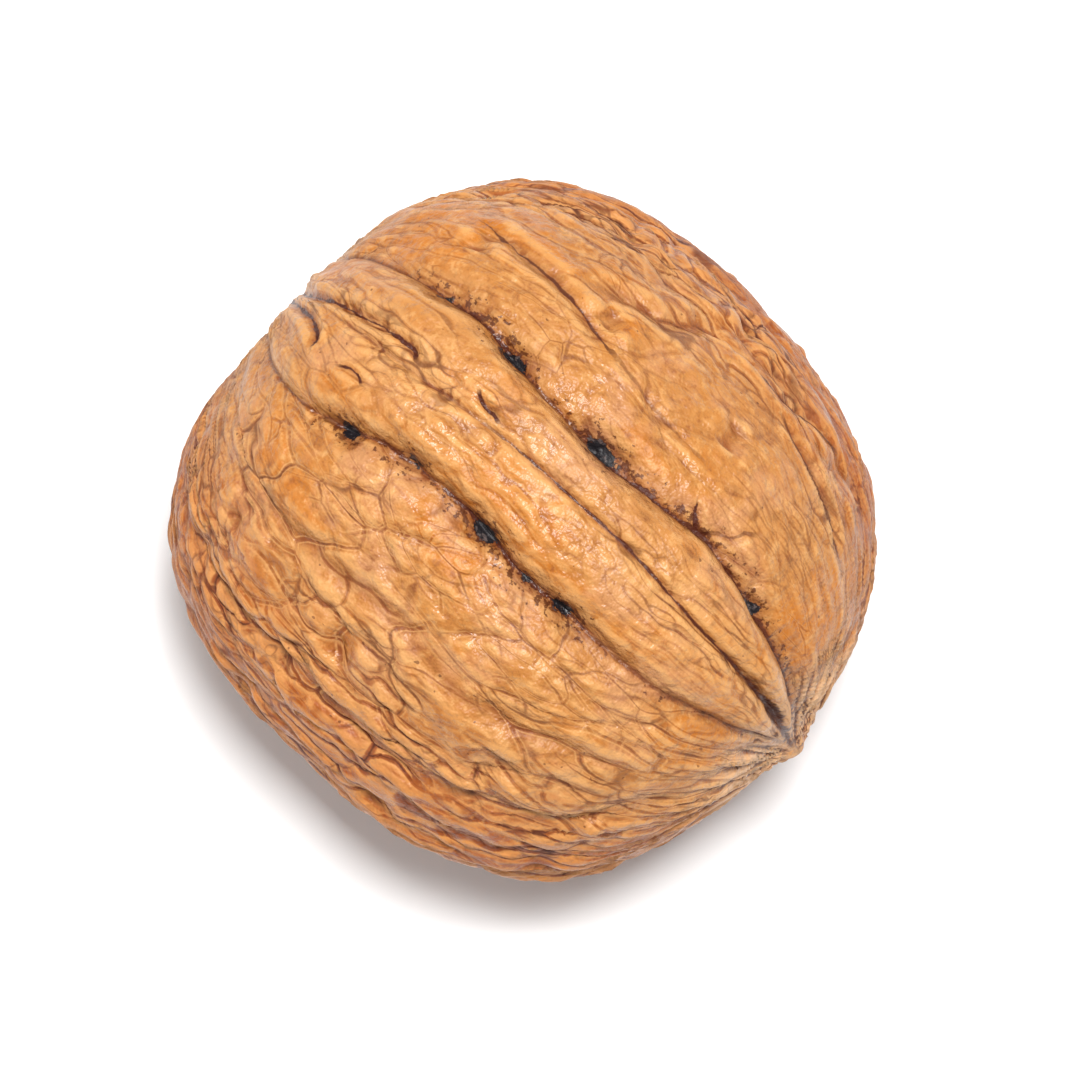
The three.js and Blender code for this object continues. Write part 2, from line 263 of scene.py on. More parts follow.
@dataclass(frozen=True)
class Spots:
    """Many places on the shell, with all that the relief needs to know about them."""

    direction: np.ndarray
    along: np.ndarray
    around: np.ndarray
    girth: np.ndarray
    from_seam: np.ndarray
    from_end: np.ndarray

    @property
    def from_top(self) -> np.ndarray:
        """Degrees from the upper or the lower seam's plane, whichever is nearer."""
        return np.minimum(np.abs(self.around), 180.0 - np.abs(self.around))

    def ring(self, space: Space, shift: float = 0.0) -> np.ndarray:
        """Places in a space where lengthwise features are longer than they are wide, and meet at the ends.

        Args:
            space: The space.
            shift: Shifts it further along.

        Returns:
            Rows of x, y and z.
        """
        turn = np.radians(self.around)
        size = MEAN_REACH / space.width
        lengthwise = np.radians(self.along) * MEAN_REACH / space.length + (space.seed + shift)
        return np.stack([lengthwise, size * np.cos(turn), size * np.sin(turn)], axis=1)

    def sway(self, space: Space) -> np.ndarray:
        """Smooth wandering, as rows of x, y and z from -0.5 to 0.5."""
        return np.stack([rough_noise(self.ring(space, shift), 2) - 0.5 for shift in (0.0, 9.0, 17.0)], axis=1)

    def to(self, along: float, around: float) -> tuple[np.ndarray, np.ndarray]:
        """Signed millimetres, lengthwise and across, from each place to one at other degrees."""
        lengthwise = np.radians(along - self.along) * MEAN_REACH
        return lengthwise, np.radians(wrap(around - self.around)) * self.girth


class Mark(Enum):
    """How a line laid over the shell looks."""

    FOLD = "fold"
    CRACK = "crack"


@dataclass(frozen=True)
class Furrow:
    """A furrow or crack along listed points."""

    path: Path
    width: float
    depth: float
    mark: Mark = Mark.FOLD
    darkness: float = 1.0

    def nearest(self, spots: Spots) -> tuple[np.ndarray, np.ndarray]:
        """How far places are from the line, signed by its side, and the share of the line passed there.

        Args:
            spots: The places.

        Returns:
            Signed distances in millimetres, and shares from 0 to 1.
        """
        flat = [spots.to(along, around) for along, around in self.path]
        best = np.full(len(spots.along), np.inf)
        signed = np.zeros(len(best))
        share = np.zeros(len(best))
        for i, ((px, py), (qx, qy)) in enumerate(zip(flat, flat[1:])):
            rx, ry = qx - px, qy - py
            t = np.clip(-(px * rx + py * ry) / np.maximum(rx * rx + ry * ry, TINY), 0.0, 1.0)
            distance = np.hypot(px + t * rx, py + t * ry)
            nearer = distance < best
            best = np.where(nearer, distance, best)
            side = np.where(px * ry - py * rx > 0, 1.0, -1.0)
            signed = np.where(nearer, distance * side, signed)
            share = np.where(nearer, (i + t) / (len(flat) - 1), share)
        return signed, share

    def relief(self, spots: Spots) -> np.ndarray:
        """How deep the line lies below its surroundings, with a low lip on each side.

        Args:
            spots: The places.

        Returns:
            Depths in millimetres.
        """
        signed, share = self.nearest(spots)
        distance = np.abs(signed)
        fade = smoothstep(0.0, 0.18, np.minimum(share, 1.0 - share) + 0.02)
        lips = 0.3 * bell(distance - 2.0 * self.width, self.width)
        return self.depth * fade * (bell(distance, self.width) - lips)


@dataclass(frozen=True)
class Pit:
    """A pit left by the husk's fibres, in degrees and millimetres."""

    along: float
    around: float
    length: float
    width: float
    depth: float

    def share(self, spots: Spots, swell: float = 1.0) -> np.ndarray:
        """How much of the pit is felt at each place, 1 at its middle, with its size times swell."""
        lengthwise, across = spots.to(self.along, self.around)
        return bell(np.hypot(lengthwise / (self.length * swell), across / (self.width * swell)), 1.0)


@dataclass(frozen=True)
class Glow:
    """A patch where the shell's colour is warmer than round it, or paler if its warmth is below 0."""

    along: float
    around: float
    radius: float
    warmth: float

    def at(self, spots: Spots) -> np.ndarray:
        """The patch's warmth at each place."""
        return self.warmth * bell(np.hypot(*spots.to(self.along, self.around)), self.radius)


# The shell's forms


@dataclass
class EggBody:
    """The nut's body without relief: how far it reaches from the heart, in millimetres."""

    stem_reach: float = 17.3
    tip_reach: float = 19.9
    left_cheek: float = 19.0
    right_cheek: float = 16.9
    upper_reach: float = 17.2
    lower_reach: float = 16.9
    fullness: float = 2.43
    fuller_left: float = 0.13
    fuller_tip: float = 0.14
    stem_flattening: float = 1.6
    stem_flattening_angle: float = 21.3
    beak_height: float = 1.6
    beak_angle: float = 4.0
    beak_blunt: float = 1.0

    def reach(self, u: np.ndarray) -> np.ndarray:
        """The body's reach in each direction.

        Args:
            u: Rows of unit directions.

        Returns:
            Millimetres from the heart.
        """
        x, y, z = u.T
        lengthways = np.abs(x) / np.where(x > 0, self.tip_reach, self.stem_reach)
        across = np.hypot(
            y / np.where(y > 0, self.right_cheek, self.left_cheek),
            z / np.where(z > 0, self.upper_reach, self.lower_reach),
        )
        rightward = y / np.maximum(np.hypot(y, z), TINY)
        fullness = self.fullness - self.fuller_left * rightward + self.fuller_tip * x
        body = (lengthways**fullness + across**fullness) ** (-1.0 / fullness)
        from_tip = np.degrees(np.arccos(np.clip(x, -1.0, 1.0)))
        beak = self.beak_height * np.exp(-np.hypot(from_tip, self.beak_blunt) / self.beak_angle)
        return body + beak - self.stem_flattening * bell(180.0 - from_tip, self.stem_flattening_angle)


@dataclass
class Welt:
    """The broad band over each seam: two lobes, the seam between them and a furrow at each outer foot."""

    height: float = 0.8
    sunken_share: float = 0.2
    rising: Slope = (22.0, 64.0)
    full_girth: float = 9.9
    tip_share: float = 0.12
    valley_share: float = 0.3
    valley_width: float = 0.32
    seam_depth: float = 0.2
    seam_width: float = 0.22
    seam_cut: float = 0.24
    seam_cut_width: float = 0.12
    seam_opening: float = 1.2
    opening: Slope = (128.0, 160.0)
    flank_depth: float = 0.5
    flank_width_inside: float = 0.8
    flank_width_outside: float = 1.3
    flank_cut: float = 0.3
    flank_cut_width: float = 0.15
    flank_swell: float = 9.0
    right_seed: float = 11.5
    left_seed: float = 4.5
    left_fading: Slope = (122.0, 146.0)
    left_fade: float = 0.45
    lower_seam: float = 183.0
    seam_line: Path = ((0, -6), (28, -5), (62, -2), (88, 0.6), (114, 1.2), (130, 0), (180, 0))
    right_flank: Path = (
        (0, 20), (40, 16), (65, 15.5), (73, 14.3), (85, 11.6), (105, 11.2), (115, 12.2), (124, 14.6),
        (146, 12.2), (180, 10),
    )
    left_flank: Path = (
        (0, -32), (45, -25), (55, -22), (62, -19), (70, -15.2), (84, -13.6), (90, -13.8), (103, -15.8),
        (133, -16.2), (150, -13.8), (180, -6),
    )

    def size(self, spots: Spots) -> np.ndarray:
        """The share of its height that the welt has: it sinks into the stem end and tapers to the beak."""
        risen = self.sunken_share + (1.0 - self.sunken_share) * smoothstep(*self.rising, spots.along)
        return risen * np.clip(spots.girth / self.full_girth, self.tip_share, 1.0)

    def lines(self, spots: Spots) -> tuple[np.ndarray, np.ndarray]:
        """How far each place is from the seam and from the nearer flank furrow.

        Args:
            spots: The places.

        Returns:
            Signed millimetres from the seam, and from the flank furrow, positive on the cheek's side.
        """
        seam = read_off(self.seam_line, spots.along)
        offset = spots.from_seam - seam
        right = read_off(self.right_flank, spots.along) - seam
        left = seam - read_off(self.left_flank, spots.along)
        flank = np.where(offset > 0, right, left)
        degree = np.radians(1.0) * spots.girth
        return offset * degree, (np.abs(offset) - flank) * degree

    def relief(self, spots: Spots) -> np.ndarray:
        """The welt's relief.

        Args:
            spots: The places.

        Returns:
            Millimetres above the body.
        """
        to_seam, to_flank = self.lines(spots)
        share = np.clip(np.abs(to_seam) / np.maximum(np.abs(to_seam) - to_flank, 1e-6), 0.0, 1.0)
        crown = self.height * (1.0 - share**4) * (1.0 - self.valley_share * bell(share, self.valley_width))
        opened = 1.0 + self.seam_opening * smoothstep(*self.opening, spots.along)
        seam = self.seam_depth * opened * bell(to_seam, self.seam_width * opened**0.6)
        uneven = self._uneven(spots, to_seam > 0)
        width = np.where(to_flank > 0, self.flank_width_outside, self.flank_width_inside)
        cut = self.flank_cut * uneven * np.exp(-np.abs(to_flank) / self.flank_cut_width)
        cut += self.seam_cut * opened * np.exp(-np.abs(to_seam) / self.seam_cut_width)
        return self.size(spots) * (crown - seam - self.flank_depth * uneven * bell(to_flank, width) - cut)

    def _uneven(self, spots: Spots, on_right: np.ndarray) -> np.ndarray:
        """How much deeper or shallower the flank furrow is from place to place.

        Args:
            spots: The places.
            on_right: Whether each lies on the right of the seam.

        Returns:
            Factors round 1.
        """
        side = np.where(on_right, self.right_seed, self.left_seed)
        place = np.stack([spots.along / self.flank_swell, side, np.full_like(side, 2.5)], axis=1)
        fading = 1.0 - self.left_fade * smoothstep(*self.left_fading, spots.along)
        return (0.7 + 0.8 * noise(place)) * np.where(on_right, 1.0, fading)


@dataclass(frozen=True)
class NetField:
    """The net at many places: where they lie in its space, and how plain each kind of crease is there."""

    flat: np.ndarray
    place: np.ndarray
    off_ends: np.ndarray
    strength: np.ndarray
    main: np.ndarray
    fine: np.ndarray


@dataclass
class Net:
    """The net of low domed plates over the cheeks, with finer plates inside some of them."""

    plate: Space = Space(6.4, 3.1)
    warps: tuple[tuple[float, float], ...] = ((0.9, 0.8), (2.4, 0.2), (6.0, 0.05))
    warp_seeds: tuple[float, ...] = (3.0, 17.0, 31.0)
    off_ends: Slope = (2.0, 26.0)
    off_welt: Slope = (9.0, 24.0)
    smooth_patch_rise: Slope = (14.0, 30.0)
    smooth_patch_fall: Slope = (64.0, 44.0)
    sides: Slope = (44.0, 74.0)
    main_found: Slope = (0.34, 0.58)
    fine_found: Slope = (0.44, 0.6)
    dome: float = 0.09
    dome_width: float = 0.4
    tilt: float = 0.125
    crease_depth: float = 0.09
    crease_width: float = 0.09
    cut_depth: float = 0.12
    cut_width: float = 0.04
    lip_height: float = 0.05
    lip_at: float = 0.12
    lip_width: float = 0.07
    fine_scale: float = 1.75
    fine_shift: float = 11.3
    fine_dome: float = 0.05
    fine_dome_width: float = 0.35
    fine_cut: float = 0.08
    fine_cut_width: float = 0.06
    lump_height: float = 0.46
    lump_size: float = 1.8
    lump_seed: float = 7.0
    dimple: Space = Space(2.0, 1.4, 60.0)
    dimple_height: float = 0.19

    def field_at(self, spots: Spots) -> NetField:
        """Lays the net's space over the shell, and thins the net out in places.

        Args:
            spots: The places.

        Returns:
            The net there.
        """
        flat = spots.ring(self.plate)
        place = flat
        for scale, warp in self.warps:
            shifts = [noise(flat * scale + np.array([seed, seed, -seed])) - 0.5 for seed in self.warp_seeds]
            place = place + warp * np.stack(shifts, axis=1)
        off_ends = smoothstep(*self.off_ends, spots.from_end)
        strength = off_ends * self._plainness(spots)
        main = strength * (0.12 + 0.88 * smoothstep(*self.main_found, rough_noise(flat * 1.1 + 5.0)))
        fine = strength * smoothstep(*self.fine_found, rough_noise(flat * 0.8 + 45.0))
        return NetField(flat, place, off_ends, strength, main, fine)

    def _plainness(self, spots: Spots) -> np.ndarray:
        """How plain the net is away from the ends: weak on the welts and on the right cheek's smooth patch.

        Args:
            spots: The places.

        Returns:
            Shares from 0 to 1.
        """
        off_welt = smoothstep(*self.off_welt, np.abs(spots.from_seam))
        on_right = smoothstep(*self.smooth_patch_rise, spots.around)
        on_right = on_right * smoothstep(*self.smooth_patch_fall, spots.around)
        on_sides = smoothstep(*self.sides, spots.from_top)
        return (0.3 + 0.7 * off_welt) * (1.0 - 0.55 * on_right) * (1.0 - 0.3 * on_sides)

    def relief(self, spots: Spots, net: NetField) -> np.ndarray:
        """The net's relief.

        Args:
            spots: The places.
            net: The net there.

        Returns:
            Millimetres above the body.
        """
        plates = Plates.at(net.place)
        fine = Plates.at(net.place * self.fine_scale + self.fine_shift)
        relief = net.strength * (self.dome * plates.dome(self.dome_width) + self.tilt * plates.lean)
        relief -= net.main * self.crease_depth * bell(plates.border, self.crease_width)
        relief -= net.main * self.cut_depth * plates.cut(self.cut_width)
        relief += net.main * self.lip_height * bell(plates.border - self.lip_at, self.lip_width)
        relief += net.fine * self.fine_dome * fine.dome(self.fine_dome_width)
        relief -= net.fine * self.fine_cut * fine.cut(self.fine_cut_width)
        lumps = noise(net.flat / self.lump_size + np.array([self.lump_seed, 0.0, 0.0])) - 0.5
        dimples = rough_noise(spots.ring(self.dimple), 2) - 0.5
        return relief + net.off_ends * (self.lump_height * lumps + self.dimple_height * dimples)


@dataclass(frozen=True)
class WrinkleField:
    """The wrinkles at many places: where they lie in the spaces whose long cells they border."""

    long_place: np.ndarray
    fine_place: np.ndarray
    ray_place: np.ndarray
    long_share: np.ndarray
    fine_share: np.ndarray
    ray_share: np.ndarray


@dataclass
class Wrinkles:
    """Braided ridges along the nut, and those that gather round each end like the rays of a star."""

    gathered_count: int = 30
    gathered_length: float = 16.0
    gathered_height: float = 0.13
    gathered_spread: float = 34.0
    gathered_sharpness: float = 2.5
    gathered_seed: float = 50.0
    gathered_off_ends: Slope = (1.0, 9.0)
    broad_sway: Space = Space(4.2, 3.2, 210.0)
    level: float = 0.6
    long_cell: Space = Space(12.0, 1.45, 90.0)
    long_sway: Space = Space(1.6, 1.2, 230.0)
    long_patches: Space = Space(6.0, 4.0, 330.0)
    long_found: Slope = (0.36, 0.54)
    long_off_ends: Slope = (8.0, 18.0)
    long_full: Slope = (6.0, 30.0)
    long_rise: float = 0.2
    long_tilt: float = 0.22
    long_cut: float = 0.16
    long_cut_width: float = 0.07
    fine_cell: Space = Space(6.5, 0.9, 150.0)
    fine_sway: Space = Space(1.3, 1.0, 270.0)
    fine_patches: Space = Space(5.0, 3.0, 360.0)
    fine_found: Slope = (0.4, 0.6)
    fine_off_ends: Slope = (14.0, 26.0)
    fine_full: Slope = (16.0, 40.0)
    fine_rise: float = 0.07
    fine_cut: float = 0.08
    fine_cut_width: float = 0.12
    dome_width: float = 0.4
    sides: Slope = (30.0, 68.0)
    near_ends: Slope = (32.0, 22.0)
    valley_width: float = 8.0
    ray_cell: Space = Space(6.0, 2.5, 130.0)
    ray_sway: Space = Space(2.6, 2.6, 410.0)
    ray_height: float = 0.28
    ray_dome_width: float = 0.35
    ray_cut: float = 0.4
    ray_cut_width: float = 0.08
    rays_near_end: Slope = (30.0, 15.0)
    rays_off_end: Slope = (1.0, 3.5)
    rays_off_welt: Slope = (10.0, 20.0)
    stem_rays: float = 0.4

    def field_at(self, spots: Spots) -> WrinkleField:
        """Lays the wrinkles and the rays over the shell.

        Args:
            spots: The places.

        Returns:
            The wrinkles there.
        """
        sway = spots.sway(self.broad_sway)
        long_place = spots.ring(self.long_cell) + 1.5 * sway + 0.5 * spots.sway(self.long_sway)
        fine_place = spots.ring(self.fine_cell) + 1.9 * sway + 0.9 * spots.sway(self.fine_sway)
        ray_place = spots.ring(self.ray_cell) + 0.6 * spots.sway(self.ray_sway)
        return WrinkleField(long_place, fine_place, ray_place, *self._shares(spots), self._ray_share(spots))

    def _shares(self, spots: Spots) -> tuple[np.ndarray, np.ndarray]:
        """How plain the long and the fine wrinkles are: most on the sides, near the ends and in the valley.

        Args:
            spots: The places.

        Returns:
            Shares from 0 to 1, of the long ones and of the fine ones.
        """
        sides = smoothstep(*self.sides, spots.from_top)
        valley = 0.5 * bell(spots.from_seam, self.valley_width)
        strength = 0.3 + 0.7 * np.maximum(sides, valley)
        patchy = 0.4 + 0.6 * smoothstep(*self.long_found, rough_noise(spots.ring(self.long_patches), 2))
        patches = smoothstep(*self.fine_found, rough_noise(spots.ring(self.fine_patches), 2))
        near_ends = smoothstep(*self.near_ends, spots.from_end)
        strength = np.maximum(strength, near_ends) * smoothstep(*self.long_off_ends, spots.from_end)
        patches = np.maximum(patches, near_ends) * smoothstep(*self.fine_off_ends, spots.from_end)
        return strength * patchy, (0.25 + 0.75 * strength) * patches

    def _ray_share(self, spots: Spots) -> np.ndarray:
        """How plain the rays are: only near the ends, beside the welts, and weaker at the stem end.

        Args:
            spots: The places.

        Returns:
            Shares from 0 to 1.
        """
        rays = smoothstep(*self.rays_near_end, spots.from_end)
        rays = rays * smoothstep(*self.rays_off_end, spots.from_end)
        rays = rays * smoothstep(*self.rays_off_welt, np.abs(spots.from_seam))
        return rays * np.where(spots.along < 90.0, self.stem_rays, 1.0)

    def relief(self, spots: Spots, wrinkled: WrinkleField) -> np.ndarray:
        """The wrinkles' relief.

        Args:
            spots: The places.
            wrinkled: The wrinkles there.

        Returns:
            Millimetres above the body.
        """
        turn = np.radians(spots.around)
        size = self.gathered_count / (2.0 * math.pi)
        across = (size * np.cos(turn) + self.gathered_seed, size * np.sin(turn))
        waves = noise(np.stack([spots.along / self.gathered_length, *across], axis=1))
        crests = 1.0 - self.gathered_sharpness * np.abs(2.0 * waves - 1.0)
        gathered = bell(spots.from_end, self.gathered_spread)
        gathered = gathered * smoothstep(*self.gathered_off_ends, spots.from_end)
        folds = self.gathered_height * gathered * crests

        long_ones = Plates.at(wrinkled.long_place)
        ridges = self.long_rise * (long_ones.dome(self.dome_width) - self.level)
        ridges += self.long_tilt * long_ones.lean - self.long_cut * long_ones.cut(self.long_cut_width)
        ridges *= wrinkled.long_share * smoothstep(*self.long_full, spots.from_end)
        fine_ones = Plates.at(wrinkled.fine_place)
        fine = self.fine_rise * (fine_ones.dome(self.dome_width) - self.level)
        fine -= self.fine_cut * fine_ones.cut(self.fine_cut_width)
        fine *= wrinkled.fine_share * smoothstep(*self.fine_full, spots.from_end)

        cells = Plates.at(wrinkled.ray_place)
        rays = cells.dome(self.ray_dome_width) - self.level - self.ray_cut * cells.cut(self.ray_cut_width)
        return folds + ridges + fine + self.ray_height * wrinkled.ray_share * rays


@dataclass
class StemScar:
    """The scar where the stem was: a dimple in a low rim, in millimetres and degrees along the nut."""

    depth: float = 0.4
    width: float = 5.0
    rim_height: float = 0.2
    rim_at: float = 10.5
    rim_width: float = 4.0
    floor_relief: float = 0.25
    edge: Slope = (9.5, 6.0)
    raggedness: float = 3.0

    def relief(self, spots: Spots) -> np.ndarray:
        """The scar's relief, with a fibrous floor.

        Args:
            spots: The places.

        Returns:
            Millimetres above the body.
        """
        floor = self.floor_relief * (rough_noise(spots.direction * 26.0 + 7.0) - 0.5) * self.share(spots)
        rim = self.rim_height * bell(spots.along - self.rim_at, self.rim_width)
        return rim + floor - self.depth * bell(spots.along, self.width)

    def share(self, spots: Spots) -> np.ndarray:
        """How much of the scar is felt at each place."""
        ragged = self.raggedness * (rough_noise(spots.direction * 12.0) - 0.5)
        return smoothstep(*self.edge, spots.along + ragged)


@dataclass
class Shell:
    """The walnut's shell as one closed piece."""

    grid: int = 128
    gather: float = 0.18
    flank_row: int = 24
    led_within: float = 62.0
    led_off_ends: Slope = (8.0, 45.0)
    heart: tuple[float, float, float] = (-2.35, 1.1, 17.32)
    rest_centre: tuple[float, float] = (1.48, -0.95)
    worn_within: float = 3.4
    whole_beyond: float = 6.4
    crumbs: Space = Space(0.9, 0.6, 300.0)
    full_pit: float = 0.6
    pit_floor: float = 0.75
    pit_halo: float = 1.4
    near_rounds: int = 6
    wide_rounds: int = 40
    far: float = 3.0
    seam_gape: float = 4.0
    gaping: Slope = (138.0, 164.0)
    closed: Slope = (181.0, 168.0)
    seam_plain: Slope = (76.0, 94.0)
    seam_end: Slope = (178.5, 176.0)
    by_seam: Slope = (2.0, 1.2)
    by_flank: Slope = (2.4, 1.4)
    by_crack: Slope = (0.8, 0.4)
    valley_width: float = 1.9
    beak: Slope = (158.0, 173.0)
    body: EggBody = field(default_factory=EggBody)
    welt: Welt = field(default_factory=Welt)
    net: Net = field(default_factory=Net)
    wrinkles: Wrinkles = field(default_factory=Wrinkles)
    scar: StemScar = field(default_factory=StemScar)
    furrows: tuple[Furrow, ...] = (
        Furrow(((18, -5), (28, -4.1), (44, -0.3), (55.5, 1.2), (62.9, 1.8), (64.6, 0.4)), 0.3, 0.5,
               Mark.CRACK),
        Furrow(((18, -12), (30.1, -9.3), (39.4, -8), (45.2, -9.5), (47.5, -12.5)), 0.3, 0.4, Mark.CRACK),
        Furrow(((55, -10.8), (57, -9.5), (59.1, -9.3), (61, -9.9)), 0.2, 0.2, Mark.CRACK),
        Furrow(((77, 3.4), (79.3, 2.1), (81.1, 2.1), (83.2, 1.8)), 0.2, 0.2, Mark.CRACK),
        Furrow(((117.6, 17.8), (119.3, 16), (120.9, 14.9), (123, 13.6)), 0.2, 0.2, Mark.CRACK),
        Furrow(((122.6, 14), (124.1, 17), (126.4, 18.6), (126.9, 21.4), (128.6, 23)), 0.2, 0.1,
               Mark.CRACK, 0.5),
        Furrow(((52, 37), (62, 33), (71, 31.6), (78, 29.5), (90, 26)), 0.5, 0.3, Mark.CRACK, 0.85),
        Furrow(((88, 27), (92.9, 26), (100.8, 24.6), (105.4, 24.3), (114, 24)), 0.3, 0.15,
               Mark.CRACK, 0.35),
        Furrow(((97, 49), (100.8, 51.1), (109.5, 51.8), (114.9, 51.9), (121.2, 57.5), (129, 61)), 0.4, 0.3,
               Mark.CRACK, 0.8),
        Furrow(((117, 48), (122.2, 47.4), (130.4, 47), (135.4, 46.3), (143, 44)), 0.35, 0.25,
               Mark.CRACK, 0.7),
        Furrow(((72, 33), (84, 40), (91, 41.5), (95, 48), (99, 53), (111, 56), (124, 58)), 0.7, 0.45),
        Furrow(((40, 62), (66, 70), (92, 74), (118, 72), (146, 60)), 0.8, 0.35),
        Furrow(((50, -46), (70, -40), (92, -37), (112, -40), (136, -36)), 0.7, 0.35),
        Furrow(((38, -72), (62, -64), (84, -61), (108, -63), (134, -58), (152, -40)), 0.8, 0.45),
        Furrow(((46, -98), (72, -92), (100, -94), (128, -88), (150, -84)), 0.8, 0.4),
        Furrow(((34, -128), (60, -120), (88, -124), (116, -118), (146, -126)), 0.9, 0.45),
        Furrow(((42, -152), (70, -146), (98, -150), (130, -144)), 0.7, 0.4),
        Furrow(((36, 104), (64, 98), (92, 104), (122, 98), (148, 106)), 0.9, 0.45),
        Furrow(((44, 134), (74, 128), (102, 134), (138, 126)), 0.8, 0.4),
    )
    pits: tuple[Pit, ...] = (
        Pit(58, 15.6, 1.6, 0.9, 0.35), Pit(76, 13.4, 1.6, 0.6, 0.6), Pit(100.5, 12, 2.0, 0.85, 1.0),
        Pit(139, 13.8, 1.0, 0.7, 0.5), Pit(62.5, -19, 1.1, 0.7, 0.6), Pit(76, -14, 1.3, 0.7, 0.4),
        Pit(94.5, -14.8, 1.7, 0.7, 0.8), Pit(105.7, -16, 1.0, 0.5, 0.4), Pit(114.2, -15.6, 1.3, 0.6, 0.7),
        Pit(84, 171, 1.8, 0.8, 0.7), Pit(118, 168, 1.6, 0.7, 0.6), Pit(66, -163, 1.7, 0.8, 0.7),
        Pit(128, -166, 1.5, 0.7, 0.6),
    )
    glows: tuple[Glow, ...] = (
        Glow(44, 28, 5.0, 1.0), Glow(100, 38, 7.5, -0.9), Glow(152, 6, 3.2, 1.2), Glow(66, -36, 3.5, 0.7),
        Glow(140, -12, 4.0, 0.8), Glow(96, -8, 3.5, 0.6), Glow(78, 18, 3.0, -0.6), Glow(112, -44, 4.5, -0.5),
    )
    right_darkness: Path = (
        (0, 0.2), (45, 0.35), (56, 0.85), (76, 1), (83, 0.5), (94, 0.7), (103, 1), (122, 0.9), (139, 0.9),
        (147, 0.8), (180, 0.8),
    )
    left_darkness: Path = (
        (0, 0.2), (52, 0.35), (62, 0.75), (80, 0.7), (89, 1), (116, 0.9), (125, 0.4), (150, 0.35), (180, 0.3),
    )

    def build(self) -> bpy.types.Object:
        """Makes the shell's mesh, with the attributes that its finish reads.

        Returns:
            The finished object, at the origin.
        """
        mesh = self._blank()
        spots = self._spots(self._directions(mesh))
        net = self.net.field_at(spots)
        wrinkled = self.wrinkles.field_at(spots)
        reach = self._reach(spots, self._relief(spots, net, wrinkled))
        points = spots.direction * reach[:, None] + np.array(self.heart)
        mesh.vertices.foreach_set("co", (points * MM).astype(np.float32).ravel())
        mesh.update()
        attributes = {
            "net": net.place,
            "net_main": net.main,
            "net_fine": net.fine,
            "long_wrinkle": wrinkled.long_place,
            "fine_wrinkle": wrinkled.fine_place,
            "ray": wrinkled.ray_place,
            "ray_share": wrinkled.ray_share,
            "long_share": wrinkled.long_share,
            "fine_share": wrinkled.fine_share,
            **self._welt_lines(spots),
            **self._crack_lines(spots),
            "pit": self._pit_share(spots, self.pit_floor),
            "pit_halo": self._pit_share(spots, self.pit_halo),
            # heights over the surroundings, which the finish turns into painted shade in hollows and painted
            # highlight on crests
            "cavity": self._cavity(mesh, reach, self.near_rounds),
            "hollow": self._cavity(mesh, reach, self.wide_rounds),
            # how far round from the upper seam; the finish paints shade on the sides with it
            "side": np.abs(spots.around) / 180.0,
            "rays": smoothstep(*self.beak, spots.along),
            "scar": self.scar.share(spots),
            "warmth": np.sum([glow.at(spots) for glow in self.glows], axis=0),
        }
        for name, values in attributes.items():
            self._keep(mesh, name, values)
        mesh.shade_smooth()
        shell = bpy.data.objects.new("walnut_shell", mesh)
        bpy.context.scene.collection.objects.link(shell)
        return shell

    def _blank(self) -> bpy.types.Mesh:
        """Makes the cube's even grid that is drawn out to the shell.

        Returns:
            The mesh.
        """
        work = bmesh.new()
        bmesh.ops.create_cube(work, size=2.0)
        bmesh.ops.subdivide_edges(work, edges=work.edges[:], cuts=self.grid - 1, use_grid_fill=True)
        mesh = bpy.data.meshes.new("walnut_shell")
        work.to_mesh(mesh)
        work.free()
        return mesh

    def _directions(self, mesh: bpy.types.Mesh) -> np.ndarray:
        """Turns the cube's grid into directions, with a row along each seam and flank furrow.

        Args:
            mesh: The cube's grid.

        Returns:
            Rows of unit directions.
        """
        cube = np.empty(len(mesh.vertices) * 3, dtype=np.float32)
        mesh.vertices.foreach_get("co", cube)
        x, y, z = cube.reshape(-1, 3).astype(float).T
        y = self._gathered(y)
        spread = np.tan(np.stack([x, y, z], axis=1) * math.pi / 4.0)
        even = spread / np.linalg.norm(spread, axis=1, keepdims=True)
        along = np.degrees(np.arccos(np.clip(-even[:, 0], -1.0, 1.0)))
        around = np.degrees(np.arctan2(even[:, 1], even[:, 2]))
        underneath = wrap(around - 180.0)
        led = np.where(np.abs(around) < self.led_within, self._lead(along, around, 0.0), around)
        low = 180.0 + self._lead(along, underneath, self.welt.lower_seam - 180.0)
        led = np.radians(np.where(np.abs(underneath) < self.led_within, low, led))
        side = np.hypot(even[:, 1], even[:, 2])
        u = np.stack([even[:, 0], side * np.sin(led), side * np.cos(led)], axis=1)
        return u / np.linalg.norm(u, axis=1, keepdims=True)

    def _gathered(self, t: Values) -> Values:
        """Gathers the cube's rows towards the seams."""
        return t * (1.0 - self.gather + self.gather * t * t)

    def _lead(self, along: np.ndarray, even: np.ndarray, seam_at: float) -> np.ndarray:
        """Leads the rows: an even angle from the seam's plane becomes the angle of the line it follows.

        Args:
            along: Degrees along the nut.
            even: Even degrees from the seam's plane.
            seam_at: How far the seam itself lies from that plane.

        Returns:
            The led angles, in degrees.
        """
        row = 45.0 * self._gathered(2.0 * self.flank_row / self.grid)
        left = seam_at + read_off(self.welt.left_flank, along)
        seam = seam_at + read_off(self.welt.seam_line, along)
        right = seam_at + read_off(self.welt.right_flank, along)
        far = self.led_within

        def between(low: float, high: float, first: Values, last: Values) -> np.ndarray:
            """Runs evenly from first to last while the even angle runs from low to high."""
            return first + (last - first) * (even - low) / (high - low)

        led = np.where(even < 0, between(-row, 0.0, left, seam), between(0.0, row, seam, right))
        led = np.where(even < -row, between(-far, -row, -far, left), led)
        led = np.where(even > row, between(row, far, right, far), led)
        share = smoothstep(*self.led_off_ends, np.minimum(along, 180.0 - along))
        return even + (led - even) * share

